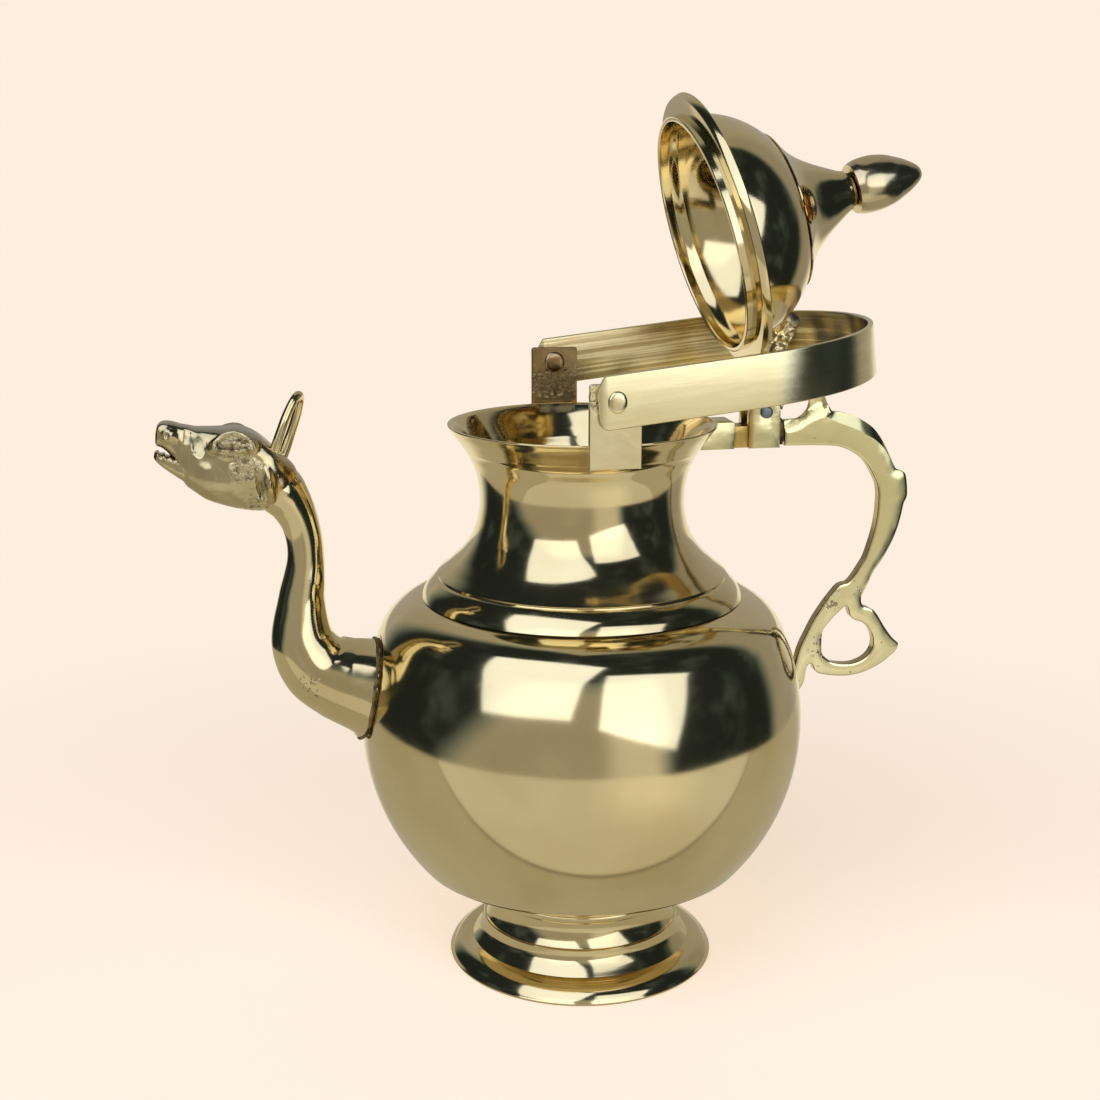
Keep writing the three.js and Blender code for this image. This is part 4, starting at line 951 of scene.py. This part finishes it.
class Finish:
    """A material, or the world, and the one method that adds its nodes. It keeps the colour and the
    normal reached so far."""

    def __init__(self, name, owner=None):
        self.owner = owner or bpy.data.materials.new(name)
        self.owner.use_nodes = True
        self.tree = self.owner.node_tree
        self.tree.nodes.clear()
        self.colour = None
        self.normal = None

    def node(self, kind, inputs, output=0, **settings):
        made = self.tree.nodes.new(kind)
        for key, value in settings.items():
            setattr(made, key, value)
        for key, value in inputs.items():
            socket = made.inputs[key]
            if isinstance(value, Value):
                self.tree.links.new(value.socket, socket)
            else:
                socket.default_value = (*value, 1) if socket.type == "RGBA" else value
        return Value(self, made.outputs[output]) if len(made.outputs) else None

    def math(self, operation, *values):
        return self.node("ShaderNodeMath", dict(enumerate(values)), operation=operation)

    def vector(self, operation, inputs, output=0):
        return self.node("ShaderNodeVectorMath", inputs, output, operation=operation)

    def mixed(self, factor, first, second):
        """One colour fading into the other."""
        return self.node("ShaderNodeMix", {0: factor, 6: first, 7: second}, 2, data_type="RGBA",
                         clamp_factor=True)

    def place(self, scale=(1, 1, 1), rotation=(0, 0, 0), location=(0, 0, 0)):
        """Object coordinates, moved, turned and stretched."""
        where = self.node("ShaderNodeTexCoord", {}, 3)
        return self.node("ShaderNodeMapping", {"Vector": where, "Location": location, "Rotation": rotation,
                                               "Scale": scale})

    def dot(self, vector, axis):
        return self.vector("DOT_PRODUCT", {0: vector, 1: axis}, 1)

    def length(self, vector):
        return self.vector("LENGTH", {0: vector}, 1)

    def noise(self, vector, scale, detail=4, roughness=0.55):
        return self.node("ShaderNodeTexNoise", {"Vector": vector, "Scale": scale, "Detail": detail,
                                                "Roughness": roughness})

    def near(self, centre, reach, start=0.5):
        """1 around a point given in millimetres from the pot's axis, fading to 0 at its reach. A reach of
        0 counts as endless."""
        scale = [1 / (r * MM) if r else 0.0 for r in reach]
        middle = [(c + move) * MM for c, move in zip(centre, (AXIS_X, 0, 0))]
        offset = self.place(scale=scale, location=[-m * s for m, s in zip(middle, scale)])
        return 1 - self.length(offset).above(start, 1)

    def hollows(self, low, high):
        """1 in hollows and 0 on raised edges, from the mesh's own pointiness."""
        return 1 - self.node("ShaderNodeNewGeometry", {}, 7).above(low, high)

    def surface_normal(self):
        return self.node("ShaderNodeTexCoord", {}, 1)

    def paint(self, mask, colour):
        """Lays a colour over the finish where the mask is 1."""
        self.colour = self.mixed(mask, self.colour, colour)

    def emboss(self, height, distance, strength):
        """Raises the surface by a height, in the normal only."""
        inputs = {"Height": height, "Distance": distance, "Strength": strength}
        if self.normal:
            inputs["Normal"] = self.normal
        self.normal = self.node("ShaderNodeBump", inputs)

    def pit(self, pits, depth=0.0003, strength=0.6, colour=PIT_BROWN):
        """Sinks the surface and darkens it where the mask is 1."""
        self.paint(pits * 0.7, colour)
        self.emboss(1 - pits, depth, strength)

    def lean(self, amount, towards):
        """Leans the normal towards a direction by an amount."""
        push = self.vector("SCALE", {0: towards, "Scale": amount})
        self.normal = self.vector("NORMALIZE", {0: self.vector("ADD", {0: self.normal, 1: push})})

    def metal(self, roughness, metallic=1, brushed=0):
        shader = self.node("ShaderNodeBsdfPrincipled", {
            "Base Color": self.colour, "Roughness": roughness, "Metallic": metallic,
            "Normal": self.normal, "Anisotropic": brushed, "Anisotropic Rotation": 0.25})
        self.node("ShaderNodeOutputMaterial", {"Surface": shader})
        return self.owner

    def glow(self, colour, strength):
        return self.node("ShaderNodeEmission", {"Color": colour, "Strength": strength})

    def either(self, factor, first, second):
        """One shader fading into the other."""
        return self.node("ShaderNodeMixShader", {0: factor, 1: first, 2: second})


def polished_brass(name, rotation=(0, 0, 0), location=(0, 0, 0), line_strength=0.35,
                   colours=(BRASS, BRASS_DEEP), dull=0, pitted=None, stained=None):
    """Mirror brass with a faint cloudy tarnish, broad polishing waves and fine turning lines across the
    axis. The mapping brings the piece's own axis onto Z. One place may be pitted, one stained orange."""
    f = Finish(name)
    own = f.place(rotation=rotation, location=location)
    cloud = f.noise(own, 22, 3)
    smear = f.noise(own, 160, 5, 0.65)
    f.colour = f.mixed(cloud.above(0.35, 0.75), *colours)
    f.paint(f.noise(own, 900, 2).above(0.74, 0.80) * 0.5, (0.25, 0.16, 0.07))
    f.emboss(f.noise(own, 26, 1, 0.4), 0.0011, 0.4)
    rings = f.place(scale=(3, 3, 2600), rotation=rotation, location=location)
    f.emboss(f.noise(rings, 1, 3, 0.7), 0.000012, line_strength)
    if pitted:
        f.pit(f.noise(own, 620, 3, 0.6).above(0.55, 0.62) * f.near(*pitted))
    if stained:
        stain = f.near(*stained, 0.8)
        stripes = f.noise(f.place(scale=(900, 60, 60)), 1, 2).above(0.35, 0.65)
        f.paint(stain * 0.9, f.mixed(stripes, (0.95, 0.50, 0.12), (0.45, 0.20, 0.04)))
        f.emboss(stain * -1, 0.0012, 0.6)
    return f.metal(0.075 + dull + 0.05 * cloud + 0.05 * smear.above(0.5, 0.8))


def head_casting(name):
    """The head: a polished cheek, chisel marks and pits round the eye and behind the cheek, a filed facet
    that catches the light, dark grooves, a painted reflection of the dark room as grey on the upward faces
    of the crown, and a brown nape."""
    f = Finish(name)
    own = f.place()
    broad = f.noise(own, 110, 3, 0.5)
    chisel = f.noise(own, 380, 4, 0.6)
    x, z = SPOUT_END
    worked = f.near((x - 13, 0, z + 15), (9.5, 0, 5.5)) + f.near((x - 9.5, 0, z + 6.5), (6.5, 0, 6))
    worked = worked + f.near((x - 6, 0, z - 6), (6, 0, 4))
    pits = f.noise(own, 600, 3, 0.6).above(0.54, 0.62) * worked
    pits = pits + f.noise(own, 500, 2, 0.5).above(0.70, 0.76) * 0.7
    # Painted reflection: grey laid on faces that look up, standing in for the dark room that the polished
    # crown reflects.
    crown = f.dot(f.surface_normal(), (0, 0, 1)).above(0.5, 0.85)
    f.colour = f.mixed(broad.above(0.3, 0.7), (0.70, 0.59, 0.33), (0.54, 0.44, 0.23))
    f.paint(crown * 0.55, (0.38, 0.34, 0.36))
    f.paint(f.near((x + 5, 0, z + 1), (8, 0, 9)) * 0.7, (0.58, 0.33, 0.10))
    f.emboss(broad, 0.0007, 0.4)
    f.emboss(chisel * worked, 0.0014, 0.8)
    f.pit(pits)
    f.paint(f.hollows(0.44, 0.51) * 0.75, (0.20, 0.14, 0.06))
    f.lean(f.near((x - 24.6, 0, z + 15.2), (2.9, 0, 4.8), 0.6), (-0.27, 0, 0.5))
    return f.metal(0.15 + 0.08 * broad + 0.2 * worked * chisel)


def crumpled_arm(name):
    """The lid's arm: bright folds, brown between them, black scale where it is brazed to the dome."""
    f = Finish(name)
    broad = f.noise(f.place(), 240, 4, 0.6)
    scale = f.near((76.5, -5, 236.7), (5, 8, 4.5), 0.3)
    f.colour = f.mixed(broad.above(0.3, 0.7), (0.86, 0.73, 0.41), (0.66, 0.53, 0.27))
    f.paint(f.hollows(0.43, 0.50) * 0.8, (0.24, 0.15, 0.06))
    f.paint(scale * 0.95, (0.035, 0.03, 0.035))
    f.emboss(broad, 0.0010, 0.6)
    return f.metal(0.13 + 0.10 * broad + 0.4 * scale)


def brushed_strap(name):
    """Brass brushed along the strap: streaks in the strap's own length and level, deeper on the inner
    face, and greyer at the closed end."""
    f = Finish(name)
    along = f.node("ShaderNodeUVMap", {}, uv_map="along")

    def streaked(stretch, *noise):
        return f.noise(f.node("ShaderNodeMapping", {"Vector": along, "Scale": (*stretch, 1)}), *noise)

    streaks = streaked((1.2, 150), 4, 6, 0.75)
    bend = f.place(location=(-(STRAP_STRAIGHT + AXIS_X) * MM, 0, 0))
    inner = 1 - f.dot(bend, f.surface_normal()).above(-0.01, 0.01)
    f.colour = f.mixed(streaked((1, 14), 3, 2).above(0.3, 0.7), (0.90, 0.79, 0.45),
                       (0.84, 0.71, 0.39))
    f.paint(streaks.above(0.6, 0.8) * 0.25, (0.42, 0.33, 0.17))
    f.paint(inner * 0.6, (0.98, 0.87, 0.56))
    f.paint(streaked((0.6, 40), 2, 3).above(0.42, 0.56) * inner * 0.75, (0.46, 0.32, 0.12))
    f.paint(f.near((STRAP_REACH, 0, 226), (12, 50, 30)) * 0.6, (0.62, 0.55, 0.50))
    f.emboss(streaks, 0.00004, 0.5)
    return f.metal(0.16 + 0.12 * streaks - 0.05 * inner, brushed=0.85)


def handle_brass(name):
    """Pale cast brass, filed flat and polished: shallow hollows, a few pits, darker towards the top and
    brown on its narrow sides."""
    f = Finish(name)
    own = f.place()
    broad = f.noise(own, 60, 2)
    pitted = f.near((94.3, 0, 131.2), (5, 0, 6)) + f.near((89.8, 0, 114), (5, 0, 7))
    pits = f.noise(own, 640, 2, 0.5)
    pits = pits.above(0.72, 0.78) + pits.above(0.55, 0.62) * pitted
    height = f.dot(own, (0, 0, 1)).above(0.118, 0.165)
    flat_face = f.math("ABSOLUTE", f.dot(f.surface_normal(), (0, 1, 0))).above(0.35, 0.8)
    f.colour = f.mixed(height, PALE_BRASS, (0.78, 0.69, 0.36))
    f.paint(broad.above(0.45, 0.8) * 0.4, (0.60, 0.46, 0.20))
    f.emboss(broad, 0.0010, 0.5)
    f.pit(pits, 0.0002, 0.5)
    f.paint(f.hollows(0.40, 0.50) * 0.5, (0.36, 0.25, 0.11))
    f.paint((1 - flat_face) * 0.75, (0.34, 0.22, 0.09))
    return f.metal(0.10 + 0.07 * broad + 0.2 * pits)


def hinge_brass(name):
    """The filed hinge block: smooth pale cheeks, with painted shade, a brown band, in the recess between
    them.
    """
    f = Finish(name)
    broad = f.noise(f.place(), 130, 2)
    f.colour = f.mixed(broad.above(0.3, 0.7), (0.80, 0.71, 0.38), (0.64, 0.57, 0.29))
    # Painted shade: a brown band laid over the recess between the cheeks, where the block lies in shadow.
    f.paint(f.near((57.6, 0, 200), (4.2, 0, 0), 0.6) * 0.85, (0.52, 0.33, 0.08))
    f.emboss(broad, 0.0006, 0.4)
    return f.metal(0.16 + 0.08 * broad)


def satin_plate(name, colours, pitted):
    """Satin brass of the lugs and rivets, with pits about one place."""
    f = Finish(name)
    own = f.place()
    broad = f.noise(own, 90, 4)
    fine = f.noise(own, 700, 3, 0.6)
    pits = fine.above(0.50, 0.60) * f.near(*pitted) + fine.above(0.74, 0.80)
    f.colour = f.mixed(broad.above(0.3, 0.7), *colours)
    f.emboss(broad, 0.0006, 0.4)
    f.pit(pits, strength=0.7, colour=(0.16, 0.12, 0.07))
    return f.metal(0.17 + 0.08 * broad + 0.25 * pits)


def solder_scale(name):
    """Brazing with black and brown scale and small bright spots where it was filed."""
    f = Finish(name)
    own = f.place()
    lumps = f.noise(own, 420, 5, 0.65)
    f.colour = f.mixed(f.noise(own, 150, 3).above(0.4, 0.65), (0.07, 0.05, 0.03), (0.34, 0.26, 0.12))
    f.paint(lumps.above(0.62, 0.72), (0.62, 0.50, 0.26))
    f.emboss(lumps, 0.0009, 0.8)
    return f.metal(0.42 + 0.3 * lumps, metallic=0.85)


def filed_steel(name):
    """A bluish pin end with file lines."""
    f = Finish(name)
    lines = f.noise(f.place(scale=(2400, 200, 300)), 1, 3, 0.7)
    f.colour = f.mixed(lines, (0.12, 0.145, 0.17), (0.29, 0.33, 0.37))
    f.emboss(lines, 0.00005, 0.6)
    return f.metal(0.22 + 0.2 * lines)


# Making the pieces

def finish_with(material, *pieces):
    """Gives pieces one finish."""
    for piece in pieces:
        piece.data.materials.clear()
        piece.data.materials.append(material)


ON_AXIS = (-AXIS_X * MM, 0, 0)
LID_TURN = (0, -radians(LID_ANGLE), 0)

finish_with(polished_brass("pot_polished_brass", location=ON_AXIS), make_foot(), make_belly(), make_neck())
finish_with(polished_brass("crest_polished_brass", line_strength=0, dull=0.04), make_crest())
finish_with(polished_brass("spout_polished_brass", location=ON_AXIS, pitted=((-99, -13, 112), (6, 8, 6))),
            make_spout())
finish_with(head_casting("head_cast_brass"), *make_head())
finish_with(solder_scale("solder_scale"), make_spout_solder(), *map(make_lug_solder, SIDES),
            worked_copy("handle_foot_braze", "handle_foot_solder", 0.5, 0.2, 3, 3, 6),
            worked_copy("handle_top_seam", "handle_top_solder", 0.4, 0.2, 2.5, 3, 7))
finish_with(satin_plate("lug_satin_brass", ((0.88, 0.76, 0.46), (0.80, 0.67, 0.37)),
                        ((-6, -LUG_MIDDLE, 216), (5, 4, 6))), make_lug("front"), make_rivet("front"))
finish_with(satin_plate("rear_lug_brown_brass", ((0.50, 0.37, 0.19), (0.34, 0.23, 0.11)),
                        ((0, LUG_MIDDLE, 207), (16, 4, 6))), make_lug("rear"), make_rivet("rear"))
finish_with(handle_brass("handle_cast_brass"), make_handle())
finish_with(hinge_brass("hinge_filed_brass"), worked_copy("hinge_block", "hinge_bracket", 0.35))
finish_with(polished_brass("lid_polished_brass", rotation=LID_TURN, line_strength=0.6,
                           stained=((72.2, -24.5, 275.5), (3.4, 6, 6.8))), make_dome(), make_cone())
finish_with(polished_brass("finial_bud_satin", rotation=LID_TURN, line_strength=0.6, dull=0.09,
                           colours=((0.66, 0.55, 0.33), (0.56, 0.45, 0.26))), make_bud())
finish_with(polished_brass("finial_collar_brown", rotation=LID_TURN, dull=0.15,
                           colours=((0.34, 0.22, 0.10), (0.22, 0.14, 0.07))), make_collar())
finish_with(crumpled_arm("lid_arm_cast_brass"), *make_lid_arm())
finish_with(filed_steel("pin_filed_steel"), make_pin())
strap = make_strap()
lay_strap_uv(strap)
finish_with(brushed_strap("strap_brushed_brass"), strap)

# Studio: a pale floor and background, a dark room behind the camera and two soft boxes

CREAM = (0.991, 0.855, 0.730)
ROOM = (1, 0.96, 0.86)
DARK_ROOM = (0.80, 1.08, 1.18)
LAMP_COLOUR = (0.75, 0.82, 1)
TARGET = Vector((AXIS_X * MM, 0, 0.12))
VIEW_TURN = radians(11.2)
TO_RIGHT = np.array([cos(VIEW_TURN), -sin(VIEW_TURN), 0])
TO_CAMERA = np.array([-sin(VIEW_TURN), -cos(VIEW_TURN), 0])
UP = np.array([0, 0, 1])
FLOOR_HALF = 4.0
FLOOR_Z = -0.0004


def soft_box(name, azimuth, elevation, width, height, roll, radiance, distance=1.3):
    """A rectangle of even light that faces the pot. Azimuth 0 is towards the camera and grows to its
    right. The watts follow from radiance times pi times area."""
    lamp = bpy.data.lights.new(name, "AREA")
    lamp.shape = "RECTANGLE"
    lamp.size = width
    lamp.size_y = height
    lamp.energy = radiance * pi * width * height
    lamp.color = LAMP_COLOUR
    holder = add_object(name, lamp)
    a = radians(azimuth)
    e = radians(elevation)
    place = TARGET + distance * Vector(cos(e) * (sin(a) * TO_RIGHT + cos(a) * TO_CAMERA) + sin(e) * UP)
    holder.matrix_world = (TARGET - place).to_track_quat("-Z", "Y").to_matrix().to_4x4()
    holder.rotation_euler.rotate_axis("Z", radians(roll))
    holder.location = place


def azimuth_of(f, vector):
    """The azimuth of a vector in degrees: 0 towards the camera, positive to its right."""
    return f.math("ARCTAN2", f.dot(vector, TO_RIGHT), f.dot(vector, TO_CAMERA)) * (180 / pi)


def studio_world():
    """Cream for the camera. The metal sees a dark room with a grey wall between and under the soft boxes,
    and the cream backdrop behind the pot."""
    world = bpy.data.worlds.new("studio")
    bpy.context.scene.world = world
    f = Finish("studio", world)
    direction = f.node("ShaderNodeTexCoord", {}, 0)
    azimuth = azimuth_of(f, direction)
    elevation = f.math("ARCSINE", f.dot(direction, UP)) * (180 / pi)
    slanted = azimuth - 0.9 * elevation
    wall = slanted.above(-72, -48) * (1 - azimuth.above(36, 50)) * (1 - elevation.above(24, 42))
    streak = azimuth.above(6, 20) * (1 - azimuth.above(34, 46)) * (1 - elevation.above(4, 16))
    beside = azimuth.above(108, 120)
    behind = f.math("ABSOLUTE", azimuth).above(130, 150)
    smoke = f.noise(direction, 2.6, 3, 0.6).above(0.50, 0.72)
    strength = 0.022 + 0.05 * smoke + 0.35 * wall + 0.28 * streak
    strength = strength + 0.31 * beside * (1 - behind) + 0.38 * behind
    colour = f.mixed(wall + beside + behind, DARK_ROOM, ROOM)
    around = f.node("ShaderNodeBackground", {"Color": colour, "Strength": strength})
    shown = f.node("ShaderNodeBackground", {"Color": CREAM, "Strength": 1.0})
    whole = f.either(f.node("ShaderNodeLightPath", {}), around, shown)
    f.node("ShaderNodeOutputWorld", {"Surface": whole})


def studio_floor():
    """A pale table. For the camera it is lit and shadowed near the pot and plain cream further off; the
    metal sees a round table top, brightest behind the pot, with the room beyond its edge."""
    mesh = bpy.data.meshes.new("floor")
    corners = [(-1, -1), (1, -1), (1, 1), (-1, 1)]
    mesh.from_pydata([(FLOOR_HALF * x, FLOOR_HALF * y, FLOOR_Z) for x, y in corners], [], [(0, 1, 2, 3)])
    floor = add_object("floor", mesh)
    f = Finish("studio_floor")
    where = f.node("ShaderNodeTexCoord", {}, 3)
    out = f.length(where)
    azimuth = azimuth_of(f, where)
    forward = f.dot(where, TO_CAMERA) + 0.13 * f.dot(where, TO_RIGHT)
    sheet = forward.above(0.094, 0.097)
    line = forward.above(0.090, 0.093) * (1 - sheet)
    patch = azimuth.above(0, 26) * (1 - azimuth.above(38, 64)) * out.above(0.12, 0.30)
    behind = f.math("ABSOLUTE", azimuth).above(130, 152)
    lit = f.node("ShaderNodeBsdfDiffuse", {"Color": CREAM})
    ground = f.node("ShaderNodeAddShader", {0: f.glow((1.03, 0.847, 0.672), 0.59), 1: lit})
    shown = f.either(out.above(0.16, 0.5), ground, f.glow(CREAM, 1))
    strength = 0.46 + 0.19 * sheet + 0.20 * patch - 0.22 * line + 0.47 * behind
    cloth = f.glow(f.mixed(sheet, (1, 0.94, 0.76), ROOM), strength)
    edge = out.above(0.43, 0.46) * (1 - behind)
    top = f.either(edge, cloth, f.node("ShaderNodeBsdfTransparent", {}))
    whole = f.either(f.node("ShaderNodeLightPath", {}), top, shown)
    f.node("ShaderNodeOutputMaterial", {"Surface": whole})
    mesh.materials.append(f.owner)


soft_box("soft_box_left", -30, 42, 1.20, 1.40, 2, 1.60)
soft_box("soft_box_right", 33.5, 22, 1.02, 0.99, -20.5, 1.54)
studio_world()
studio_floor()

# Camera

FOCAL_PIXELS = 1720.8
FRAME_PIXELS = 1100
SENSOR = 36.0
CAMERA_DIP = 13.57

camera_data = bpy.data.cameras.new("camera")
camera_data.sensor_width = SENSOR
camera_data.lens = FOCAL_PIXELS / FRAME_PIXELS * SENSOR
camera_data.clip_start = 0.01
camera = add_object("camera", camera_data)
camera.location = (-0.1149, -0.5868, 0.2986)
camera.rotation_euler = (radians(90 - CAMERA_DIP), 0, -VIEW_TURN)
bpy.context.scene.camera = camera
bpy.context.scene.view_settings.view_transform = "Standard"
